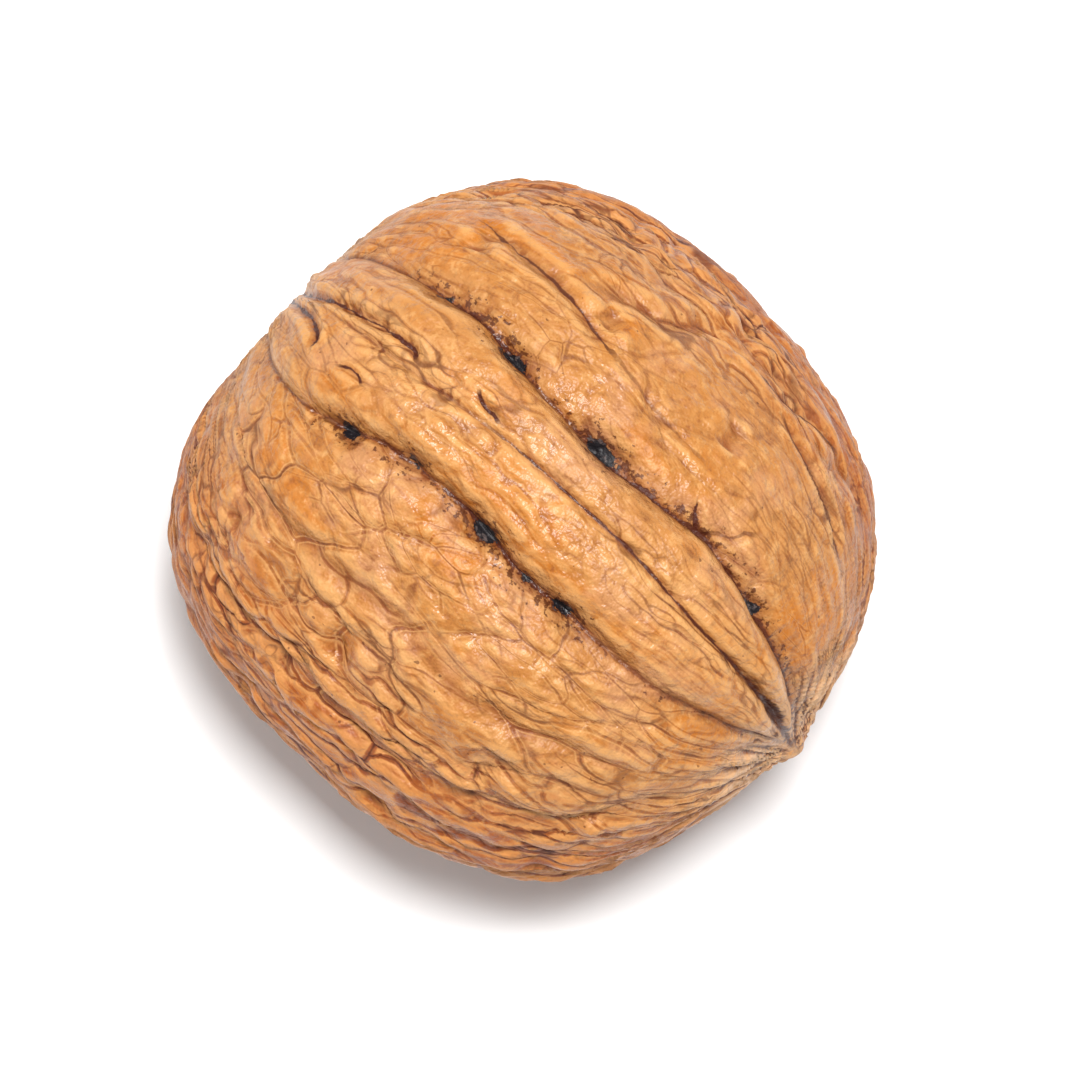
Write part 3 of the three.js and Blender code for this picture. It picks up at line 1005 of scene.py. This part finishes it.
    def _spots(self, u: np.ndarray) -> Spots:
        """Works out all that the relief needs to know about each direction.

        Args:
            u: Rows of unit directions.

        Returns:
            The places that they lead to.
        """
        along = np.degrees(np.arccos(np.clip(-u[:, 0], -1.0, 1.0)))
        around = np.degrees(np.arctan2(u[:, 1], u[:, 2]))
        girth = np.hypot(u[:, 1], u[:, 2]) * self.body.reach(u)
        from_seam = np.where(np.abs(around) < 90.0, around, wrap(around - self.welt.lower_seam))
        return Spots(u, along, around, girth, from_seam, np.minimum(along, 180.0 - along))

    def _relief(self, spots: Spots, net: NetField, wrinkled: WrinkleField) -> np.ndarray:
        """All of the shell's relief.

        Args:
            spots: The places.
            net: The net there.
            wrinkled: The wrinkles there.

        Returns:
            Millimetres above the body.
        """
        relief = self.welt.relief(spots) + self.net.relief(spots, net) + self.wrinkles.relief(spots, wrinkled)
        relief += self.scar.relief(spots)
        for furrow in self.furrows:
            relief -= furrow.relief(spots)
        crumbs = 0.6 + 0.8 * rough_noise(spots.ring(self.crumbs), 2)
        for pit in self.pits:
            relief -= pit.depth * pit.share(spots) * crumbs
        return relief

    def _reach(self, spots: Spots, relief: np.ndarray) -> np.ndarray:
        """The shell's reach from the heart, stopped by the surface that the nut lies on.

        Args:
            spots: The places.
            relief: The relief there.

        Returns:
            Millimetres from the heart.
        """
        body = self.body.reach(spots.direction)
        x, y, z = spots.direction.T
        from_rest = np.hypot(x * body - self.rest_centre[0], y * body - self.rest_centre[1])
        whole = np.where(z < 0, smoothstep(self.worn_within, self.whole_beyond, from_rest), 1.0)
        worn = self.welt.height * bell(from_rest, self.whole_beyond)
        reach = body + whole * relief + (1.0 - whole) * worn
        floor = self.heart[2] / np.maximum(-z, 1e-6)
        return np.where(z < 0, np.minimum(reach, floor), reach)

    def _pit_share(self, spots: Spots, swell: float) -> np.ndarray:
        """How much of any pit is felt at each place."""
        depths = [min(1.0, pit.depth / self.full_pit) for pit in self.pits]
        return np.max([pit.share(spots, swell) * depth for pit, depth in zip(self.pits, depths)], axis=0)

    def _welt_lines(self, spots: Spots) -> dict[str, np.ndarray]:
        """Signed distances to the seams and the flank furrows, and how plain each is.

        Args:
            spots: The places.

        Returns:
            The mesh's attributes, by name.
        """
        to_seam, to_flank = self.welt.lines(spots)
        gaping = self.seam_gape * smoothstep(*self.gaping, spots.along)
        gaping = gaping * smoothstep(*self.closed, spots.along)
        plain = 0.25 + 0.75 * smoothstep(*self.seam_plain, spots.along)
        plain = plain * smoothstep(*self.seam_end, spots.along)
        right = read_off(self.right_darkness, spots.along)
        dark = np.where(to_seam > 0, right, read_off(self.left_darkness, spots.along))
        return {
            "seam": np.clip(to_seam, -self.far, self.far) / (1.0 + gaping),
            "seam_near": smoothstep(*self.by_seam, np.abs(to_seam)) * plain,
            "valley": bell(to_seam, self.valley_width) * self.welt.size(spots),
            "flank": np.clip(to_flank, -self.far, self.far),
            "flank_near": smoothstep(*self.by_flank, np.abs(to_flank)) * dark,
        }

    def _crack_lines(self, spots: Spots) -> dict[str, np.ndarray]:
        """Signed distances to the nearest crack, and how dark it is.

        Args:
            spots: The places.

        Returns:
            The mesh's attributes, by name.
        """
        nearest = np.full(len(spots.along), 3.0 * self.far)
        near = np.zeros(len(spots.along))
        for furrow in self.furrows:
            if furrow.mark is not Mark.CRACK:
                continue
            signed, share = furrow.nearest(spots)
            nearest = np.where(np.abs(signed) < np.abs(nearest), signed, nearest)
            fade = smoothstep(0.0, 0.1, np.minimum(share, 1.0 - share) + 0.03)
            near = np.maximum(near, smoothstep(*self.by_crack, np.abs(signed)) * fade * furrow.darkness)
        return {"crack": np.clip(nearest, -self.far, self.far), "crack_near": near}

    def _cavity(self, mesh: bpy.types.Mesh, reach: np.ndarray, rounds: int) -> np.ndarray:
        """How far each point stands above its surroundings, in millimetres.

        Args:
            mesh: The mesh, for its edges.
            reach: Each point's reach.
            rounds: How often the surroundings are averaged: more rounds look further.

        Returns:
            Heights, below 0 in a hollow.
        """
        ends = np.empty(len(mesh.edges) * 2, dtype=np.int32)
        mesh.edges.foreach_get("vertices", ends)
        a, b = ends.reshape(-1, 2).T
        count = len(reach)
        neighbours = np.bincount(a, minlength=count) + np.bincount(b, minlength=count)
        smooth = reach.copy()
        for _ in range(rounds):
            total = np.bincount(a, weights=smooth[b], minlength=count)
            total += np.bincount(b, weights=smooth[a], minlength=count)
            smooth = 0.3 * smooth + 0.7 * total / neighbours
        return reach - smooth

    @staticmethod
    def _keep(mesh: bpy.types.Mesh, name: str, values: np.ndarray) -> None:
        """Keeps a number or a place for every vertex.

        Args:
            mesh: The mesh.
            name: The attribute's name.
            values: One number or row a vertex.
        """
        kind, holder = ("FLOAT_VECTOR", "vector") if values.ndim == 2 else ("FLOAT", "value")
        attribute = mesh.attributes.new(name, kind, "POINT")
        attribute.data.foreach_set(holder, values.astype(np.float32).ravel())


# The shell's finish


@dataclass(frozen=True)
class Pattern:
    """Smooth noise over the nut: its shift in millimetres, its swells to one, and the finer noise on it."""

    shift: float
    scale: float
    detail: float
    roughness: float = 0.5


class Blend(Enum):
    """How two colours are mixed."""

    OVER = "MIX"
    MULTIPLY = "MULTIPLY"


class Wiring:
    """Lays out one material's nodes in a few words each."""

    def __init__(self, name: str) -> None:
        """Starts an empty material.

        Args:
            name: The material's name.
        """
        self.material = bpy.data.materials.new(name)
        self.material.use_nodes = True
        self.tree = self.material.node_tree
        self.tree.nodes.clear()
        self.patterns: dict[Pattern, Socket] = {}

    def node(self, kind: str, **settings: object) -> bpy.types.Node:
        """Adds a node.

        Args:
            kind: Its type.
            settings: Its properties.

        Returns:
            The node.
        """
        node = self.tree.nodes.new(kind)
        for name, value in settings.items():
            setattr(node, name, value)
        return node

    def join(self, source: Number | Colour, socket: Socket) -> None:
        """Links a socket to another, or sets it to a constant.

        Args:
            source: The other socket, or the constant.
            socket: The socket.
        """
        if isinstance(source, Socket):
            self.tree.links.new(source, socket)
        elif isinstance(source, tuple) and len(socket.default_value) == 4:
            socket.default_value = (*source, 1.0)
        else:
            socket.default_value = source

    def finish(self, shader: bpy.types.Node) -> bpy.types.Material:
        """Makes a shader the material's surface.

        Args:
            shader: The shader.

        Returns:
            The finished material.
        """
        output = self.node("ShaderNodeOutputMaterial")
        self.join(shader.outputs["BSDF"], output.inputs["Surface"])
        return self.material

    def attribute(self, name: str, vector: bool = False) -> Socket:
        """Reads one of the mesh's attributes."""
        node = self.node("ShaderNodeAttribute", attribute_name=name)
        return node.outputs["Vector" if vector else "Fac"]

    def maths(self, operation: str, *values: Number) -> Socket:
        """Adds a Math node.

        Args:
            operation: What it does.
            values: The numbers that it takes.

        Returns:
            Its result.
        """
        node = self.node("ShaderNodeMath", operation=operation)
        for value, socket in zip(values, node.inputs):
            self.join(value, socket)
        return node.outputs[0]

    def chain(self, operation: str, *values: Number) -> Socket:
        """Joins several numbers by the same operation, from the first to the last.

        Args:
            operation: What joins them.
            values: The numbers.

        Returns:
            The result.
        """
        total = values[0]
        for value in values[1:]:
            total = self.maths(operation, total, value)
        return total

    def times(self, *values: Number) -> Socket:
        """Multiplies numbers."""
        return self.chain("MULTIPLY", *values)

    def plus(self, *values: Number) -> Socket:
        """Adds numbers."""
        return self.chain("ADD", *values)

    def less(self, value: Number, other: Number) -> Socket:
        """Takes one number from another."""
        return self.maths("SUBTRACT", value, other)

    def most(self, *values: Number) -> Socket:
        """The greatest of several numbers."""
        return self.chain("MAXIMUM", *values)

    def ramp(
        self, value: Socket, low: float, high: float, to_low: float = 0.0, to_high: float = 1.0
    ) -> Socket:
        """Maps low..high smoothly to to_low..to_high.

        Args:
            value: The number.
            low: Where the slope starts.
            high: Where it ends. It may be the smaller one.
            to_low: The result at low.
            to_high: The result at high.

        Returns:
            The mapped number.
        """
        ends = (high, low, to_high, to_low) if low > high else (low, high, to_low, to_high)
        node = self.node("ShaderNodeMapRange", interpolation_type="SMOOTHSTEP", clamp=True)
        for name, number in zip(("From Min", "From Max", "To Min", "To Max"), ends):
            node.inputs[name].default_value = number
        self.join(value, node.inputs["Value"])
        return node.outputs["Result"]

    def spread(self, vector: Socket, scale: float, shift: float) -> Socket:
        """Scales a space and shifts it, alike on every axis.

        Args:
            vector: The places.
            scale: Times this.
            shift: Plus this.

        Returns:
            The new places.
        """
        node = self.node("ShaderNodeMapping")
        self.join(vector, node.inputs["Vector"])
        node.inputs["Scale"].default_value = (scale,) * 3
        node.inputs["Location"].default_value = (shift,) * 3
        return node.outputs["Vector"]

    def noise(self, pattern: Pattern) -> Socket:
        """Smooth noise over the nut's own places, laid out once for each pattern.

        Args:
            pattern: The pattern.

        Returns:
            The noise, from 0 to 1.
        """
        if pattern not in self.patterns:
            place = self.node("ShaderNodeTexCoord").outputs["Object"]
            node = self.node("ShaderNodeTexNoise")
            self.join(self.spread(place, 1.0 / MM, pattern.shift), node.inputs["Vector"])
            node.inputs["Scale"].default_value = pattern.scale
            node.inputs["Detail"].default_value = pattern.detail
            node.inputs["Roughness"].default_value = pattern.roughness
            self.patterns[pattern] = node.outputs["Fac"]
        return self.patterns[pattern]

    def border(self, vector: Socket) -> Socket:
        """Lays out a net of cells about one unit across, and reads how far the nearest border is.

        Args:
            vector: The places in the net's space.

        Returns:
            The distances.
        """
        node = self.node("ShaderNodeTexVoronoi", feature="DISTANCE_TO_EDGE", voronoi_dimensions="3D")
        self.join(vector, node.inputs["Vector"])
        node.inputs["Scale"].default_value = 1.0
        node.inputs["Randomness"].default_value = 1.0
        return node.outputs["Distance"]

    def mix(self, share: Number, first: Tint, second: Tint, blend: Blend = Blend.OVER) -> Socket:
        """Mixes two colours.

        Args:
            share: How much of the second colour.
            first: The first colour.
            second: The second colour.
            blend: How they mix.

        Returns:
            The mixed colour.
        """
        node = self.node("ShaderNodeMix", data_type="RGBA", blend_type=blend.value, clamp_factor=True)
        self.join(share, node.inputs["Factor"])
        self.join(first, node.inputs[MIX_FIRST])
        self.join(second, node.inputs[MIX_SECOND])
        return node.outputs[MIX_RESULT]


@dataclass(frozen=True)
class Creases:
    """Where the material's creases are: dark lines, the pale lips beside them painted as highlight, and the
    brown round them painted as shade.
    """

    lines: Socket
    # painted highlight: the pale lips beside the creases
    lips: Socket
    shade: Socket


@dataclass(frozen=True)
class ShellFinish:
    """The finish of the nut's shell: satin tan, with red-brown creases and near-black pits, and shade and
    highlights painted on its relief and sides.
    """

    tan: Colour = (0.438, 0.171, 0.038)
    orange: Colour = (0.46, 0.148, 0.016)
    pale: Colour = (0.65, 0.337, 0.12)
    dusty: Colour = (0.485, 0.217, 0.09)
    # painted shade: the darker red-brown that the sides get
    side: Colour = (0.31, 0.085, 0.017)
    # painted shade with reddish bounce light, multiplied over the sides
    side_shade_tint: Colour = (0.90, 0.72, 0.56)
    crease: Colour = (0.065, 0.012, 0.004)
    brown: Colour = (0.205, 0.052, 0.013)
    pit: Colour = (0.010, 0.008, 0.010)
    crumb: Colour = (0.09, 0.065, 0.06)
    beak: Colour = (0.70, 0.38, 0.17)
    # pale ray crests: partly the fibres' own colour, partly painted highlight
    fibre_and_highlight: Colour = (0.76, 0.46, 0.25)
    scar: Colour = (0.20, 0.10, 0.055)
    roughness: float = 0.43
    specular: float = 0.32
    bump_strength: float = 0.9
    bump_height: float = 0.00022
    broad: Pattern = Pattern(0.0, 0.14, 2.0)
    dust: Pattern = Pattern(21.0, 0.22, 3.0, 0.65)
    mottle: Pattern = Pattern(61.0, 1.1, 3.0, 0.75)
    uneven: Pattern = Pattern(5.0, 0.7, 1.0)
    patches: Pattern = Pattern(37.0, 0.3, 1.0)
    wander: Pattern = Pattern(19.0, 1.3, 2.0, 0.6)
    broken: Pattern = Pattern(9.0, 0.6, 1.0)
    specks: Pattern = Pattern(17.0, 2.1, 3.0, 0.65)
    pores: Pattern = Pattern(3.0, 2.6, 0.0)
    grain: Pattern = Pattern(8.0, 3.4, 1.0, 0.65)
    dimples: Pattern = Pattern(51.0, 0.9, 1.0)
    line_width: Ramp = (0.36, 0.64, 0.25, 1.0)
    line_patch: Ramp = (0.42, 0.62, 0.0, 1.0)
    line_share: float = 0.92
    lip_highlight_share: float = 0.85
    shade_share: float = 0.45
    crack_width: Ramp = (0.34, 0.6, 0.15, 1.0)
    broken_fibre: Ramp = (0.3, 0.55, 0.35, 1.0)
    fibre_highlight_share: float = 0.68
    gap_share: float = 0.8
    beak_share: float = 0.5
    scar_share: float = 0.8
    ragged_stain: Ramp = (0.71, 0.81, 0.0, 0.85)
    pinhole: Ramp = (0.945, 0.97, 0.0, 0.6)
    polish: Ramp = (0.3, 0.7, -0.11, 0.12)
    # painted highlight on the crests and painted shade in the creases and hollows, read from the cavity
    # heights
    crest_painted_highlight: Ramp = (0.015, 0.08, 0.0, 0.65)
    sunken_painted_shade: Ramp = (0.0, -0.12, 0.0, 0.65)
    hollow_painted_shade: Ramp = (-0.04, -0.4, 0.0, 0.5)
    glowing: Ramp = (-0.02, 0.16, 0.0, 1.0)
    dusted: Ramp = (0.48, 0.64, 0.0, 0.85)
    pale_valley: Ramp = (0.3, 0.55, 0.0, 0.26)
    side_painted_shade: Ramp = (0.17, 0.42, 0.0, 0.8)
    side_painted_reddening: Ramp = (0.22, 0.42, 0.0, 1.0)
    brown_mottle: Ramp = (0.52, 0.72, 0.0, 0.6)
    pale_mottle: Ramp = (0.49, 0.3, 0.0, 0.6)

    def material(self) -> bpy.types.Material:
        """Builds the material.

        Returns:
            The material, which reads the shell's attributes.
        """
        w = Wiring("walnut_shell")
        creases = self._creases(w)
        cavity = w.attribute("cavity")
        colour = self._ground(w)
        colour = w.mix(w.times(w.attribute("rays"), self.beak_share), colour, self.beak)
        # painted highlight: paler on the crests
        colour = w.mix(w.ramp(cavity, *self.crest_painted_highlight), colour, self.pale)
        # painted shade: browner in the creases
        colour = w.mix(w.ramp(cavity, *self.sunken_painted_shade), colour, self.brown)
        # painted shade: brown round the creases
        colour = w.mix(w.times(creases.shade, self.shade_share), colour, self.brown)
        # painted highlight: pale lips beside the creases
        colour = w.mix(w.times(creases.lips, self.lip_highlight_share), colour, self.pale)
        colour = w.mix(w.times(creases.lines, self.line_share), colour, self.crease)
        # painted shade and reddish bounce light: the sides are multiplied darker and redder
        colour = w.mix(w.ramp(w.attribute("side"), *self.side_painted_reddening), colour, self.side_shade_tint, Blend.MULTIPLY)
        colour = self._rays(w, colour)
        for marks in (self._stains(w), self._cracks(w), self._pores(w)):
            colour = w.mix(marks, colour, self.crease)
        colour = self._pit_floor(w, colour)
        colour = w.mix(w.times(w.attribute("scar"), self.scar_share), colour, self.scar)
        shader = w.node("ShaderNodeBsdfPrincipled")
        w.join(colour, shader.inputs["Base Color"])
        w.join(self._gloss(w, creases), shader.inputs["Roughness"])
        w.join(self._bump(w), shader.inputs["Normal"])
        shader.inputs["Specular IOR Level"].default_value = self.specular
        return w.finish(shader)

    def _ground(self, w: Wiring) -> Socket:
        """The colour between the creases: tan, with orange and dusty patches, mottling, brown in the broad
        hollows as painted shade, and darker, red-brown sides as painted shade.

        Args:
            w: The material's wiring.

        Returns:
            The colour.
        """
        hollow = w.attribute("hollow")
        raised = w.plus(w.times(hollow, 0.9), w.less(w.noise(self.broad), 0.5))
        raised = w.plus(raised, w.times(w.attribute("warmth"), 0.22))
        dust = w.noise(self.dust)
        mottle = w.noise(self.mottle)
        colour = w.mix(w.ramp(raised, *self.glowing), self.tan, self.orange)
        colour = w.mix(w.ramp(dust, *self.dusted), colour, self.dusty)
        colour = w.mix(w.times(w.attribute("valley"), w.ramp(dust, *self.pale_valley)), colour, self.pale)
        # painted shade: darker towards the sides
        colour = w.mix(w.ramp(w.attribute("side"), *self.side_painted_shade), colour, self.side)
        # painted shade: browner in the broad hollows
        colour = w.mix(w.ramp(hollow, *self.hollow_painted_shade), colour, self.brown)
        colour = w.mix(w.ramp(mottle, *self.brown_mottle), colour, self.brown)
        return w.mix(w.ramp(mottle, *self.pale_mottle), colour, self.pale)

    def _creases(self, w: Wiring) -> Creases:
        """The creases of the net and of the wrinkles, as thin lines of uneven width.

        Args:
            w: The material's wiring.

        Returns:
            The creases.
        """
        patches = w.ramp(w.noise(self.patches), *self.line_patch)
        uneven = w.times(w.ramp(w.noise(self.uneven), *self.line_width), patches)
        net = w.attribute("net", vector=True)
        kinds = (
            (net, "net_main", 0.018, 0.6, 0.05),
            (w.spread(net, Net.fine_scale, Net.fine_shift), "net_fine", 0.02, 0.5, 0.08),
            (w.attribute("long_wrinkle", vector=True), "long_share", 0.045, 1.0, 0.22),
            (w.attribute("fine_wrinkle", vector=True), "fine_share", 0.06, 0.6, 0.26),
        )
        lines, lips, shades = [], [], []
        for place, share_name, width, dark, reach in kinds:
            border = w.border(place)
            share = w.attribute(share_name)
            inside = w.less(w.times(uneven, width), border)
            rise = w.ramp(border, width, width * 1.8)
            fall = w.ramp(border, reach, width * 1.8)
            lines.append(w.times(w.ramp(inside, -width * 0.5, width * 0.5), share, dark))
            # painted highlight on the lips beside each crease
            lips.append(w.times(rise, fall, share, dark))
            # painted shade round each crease
            shades.append(w.times(w.ramp(border, reach, 0.0), share, dark))
        return Creases(*(w.most(*found) for found in (lines, lips, shades)))

    def _rays(self, w: Wiring, colour: Socket) -> Socket:
        """The pale fibres, painted partly as highlight on their crests, with dark gaps between them, that run
        together at the ends of the nut.

        Args:
            w: The material's wiring.
            colour: The colour under them.

        Returns:
            The colour with the fibres on it.
        """
        border = w.border(w.attribute("ray", vector=True))
        share = w.attribute("ray_share")
        broken = w.ramp(w.noise(self.mottle), *self.broken_fibre)
        # pale ray crests, partly painted highlight
        fibres = w.times(w.ramp(border, 0.09, 0.2), share, share, broken, self.fibre_highlight_share)
        gaps = w.times(w.ramp(border, 0.11, 0.04), share, share, broken, self.gap_share)
        return w.mix(gaps, w.mix(fibres, colour, self.fibre_and_highlight), self.crease)

    def _cracks(self, w: Wiring) -> Socket:
        """The dark lines laid along the seam, the flank furrows and the small cracks.

        Args:
            w: The material's wiring.

        Returns:
            How dark they are.
        """
        wander = w.less(w.noise(self.wander), 0.5)
        uneven = w.ramp(w.noise(self.broken), *self.crack_width)
        kinds = (("seam", 0.07, 0.95, 0.25), ("flank", 0.13, 1.0, 0.6), ("crack", 0.11, 1.0, 0.3))
        found = []
        for name, width, dark, strays in kinds:
            distance = w.maths("ABSOLUTE", w.plus(w.attribute(name), w.times(wander, strays)))
            inside = w.less(w.times(uneven, width), distance)
            found.append(w.times(w.ramp(inside, -0.05, 0.02), w.attribute(f"{name}_near"), dark))
        return w.most(*found)

    def _stains(self, w: Wiring) -> Socket:
        """Red-brown stains with ragged specks, along the flank furrows and round the pits.

        Args:
            w: The material's wiring.

        Returns:
            How dark they are.
        """
        flank = w.attribute("flank")
        beside = w.times(w.ramp(flank, 1.9, 0.1), w.ramp(flank, -0.5, 0.0), w.attribute("flank_near"))
        share = w.most(w.times(beside, 0.75), w.attribute("pit_halo"))
        ragged = w.ramp(w.plus(w.times(share, 0.36), w.noise(self.specks)), *self.ragged_stain)
        return w.most(w.times(share, 0.28), w.times(ragged, w.ramp(share, 0.02, 0.2)))

    def _pores(self, w: Wiring) -> Socket:
        """Scattered pinholes, more of them in some patches."""
        crowded = w.times(w.noise(self.patches), 0.2)
        return w.ramp(w.plus(w.noise(self.pores), crowded), *self.pinhole)

    def _pit_floor(self, w: Wiring, colour: Socket) -> Socket:
        """The near-black floor of each pit, with crumbs on it and a crumbling edge.

        Args:
            w: The material's wiring.
            colour: The colour round the pits.

        Returns:
            The colour with the pits in it.
        """
        crumbs = w.noise(self.specks)
        floor = w.mix(w.ramp(crumbs, 0.55, 0.66), self.pit, self.crumb)
        return w.mix(w.ramp(w.plus(w.attribute("pit"), crumbs), 1.0, 1.1), colour, floor)

    def _gloss(self, w: Wiring, creases: Creases) -> Socket:
        """Roughness: uneven from patch to patch, and dull in the creases."""
        patches = w.ramp(w.noise(self.patches), *self.polish)
        return w.plus(patches, self.roughness, w.times(creases.lines, 0.25))

    def _bump(self, w: Wiring) -> Socket:
        """The relief too fine for the mesh: grain and small dimples.

        Args:
            w: The material's wiring.

        Returns:
            The shader's normal.
        """
        height = w.plus(w.times(w.noise(self.grain), 0.5), w.times(w.noise(self.dimples), 1.5))
        bump = w.node("ShaderNodeBump")
        bump.inputs["Strength"].default_value = self.bump_strength
        bump.inputs["Distance"].default_value = self.bump_height
        w.join(height, bump.inputs["Height"])
        return bump.outputs["Normal"]


# The studio


@dataclass(frozen=True)
class Lamp:
    """A square lamp that faces the nut: its place and side in metres, and its power in watts."""

    name: str
    place: tuple[float, float, float]
    side: float
    power: float

    def hang(self) -> None:
        """Adds the lamp to the scene."""
        light = bpy.data.lights.new(self.name, "AREA")
        light.size = self.side
        light.energy = self.power
        lamp = bpy.data.objects.new(self.name, light)
        lamp.location = self.place
        lamp.rotation_euler = (-Vector(self.place)).to_track_quat("-Z", "Y").to_euler()
        bpy.context.scene.collection.objects.link(lamp)


@dataclass
class Studio:
    """A plain pale floor, a soft key lamp above the nut, an even fill, and the camera above the nut."""

    azimuth: float = 43.0
    elevation: float = 83.3
    distance: float = 0.42
    field_width: float = 0.060
    sensor: float = 36.0
    floor_size: float = 3.0
    floor_colour: Colour = (0.86, 0.86, 0.86)
    floor_roughness: float = 0.9
    room_light: float = 0.35
    lamps: tuple[Lamp, ...] = (
        Lamp("key", (0.0, 0.09, 0.89), 0.2, 11.0),
        Lamp("fill", (-0.6, -0.3, 0.8), 0.9, 2.0),
    )

    def build(self) -> None:
        """Makes the floor, the lights and the camera."""
        bpy.context.scene.view_settings.view_transform = "Standard"
        self._floor()
        self._room()
        for lamp in self.lamps:
            lamp.hang()
        self._camera()

    def _floor(self) -> None:
        """Makes the floor, well past the view."""
        work = bmesh.new()
        bmesh.ops.create_grid(work, x_segments=1, y_segments=1, size=self.floor_size)
        mesh = bpy.data.meshes.new("floor")
        work.to_mesh(mesh)
        work.free()
        w = Wiring("floor")
        shader = w.node("ShaderNodeBsdfPrincipled")
        w.join(self.floor_colour, shader.inputs["Base Color"])
        w.join(self.floor_roughness, shader.inputs["Roughness"])
        mesh.materials.append(w.finish(shader))
        floor = bpy.data.objects.new("floor", mesh)
        bpy.context.scene.collection.objects.link(floor)

    def _room(self) -> None:
        """Sets the even light from all round."""
        world = bpy.data.worlds.new("soft_room")
        world.use_nodes = True
        background = world.node_tree.nodes["Background"]
        background.inputs["Color"].default_value = (1.0, 1.0, 1.0, 1.0)
        background.inputs["Strength"].default_value = self.room_light
        bpy.context.scene.world = world

    def _camera(self) -> None:
        """Places the camera at the photograph's viewing angle."""
        turn, rise = math.radians(self.azimuth), math.radians(self.elevation)
        back = Vector((math.sin(turn) * math.cos(rise), -math.cos(turn) * math.cos(rise), math.sin(rise)))
        low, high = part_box("walnut")
        data = bpy.data.cameras.new("camera")
        data.sensor_width = self.sensor
        data.lens = self.sensor * self.distance / self.field_width
        camera = bpy.data.objects.new("camera", data)
        camera.location = (low + high) / 2.0 + back * self.distance
        camera.rotation_euler = back.to_track_quat("Z", "Y").to_euler()
        bpy.context.scene.collection.objects.link(camera)
        bpy.context.scene.camera = camera


def main() -> None:
    """Builds the walnut and its studio, and reports each piece."""
    logging.basicConfig(level=logging.INFO, format="%(name)s: %(message)s")
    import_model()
    shell = Shell().build()
    shell.data.materials.append(ShellFinish().material())
    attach(shell, "root")
    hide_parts("walnut")
    LOG.info("shell: %d faces", len(shell.data.polygons))
    Studio().build()
    LOG.info("studio: floor, lamps and camera")
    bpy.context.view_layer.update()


if __name__ == "__main__":
    main()
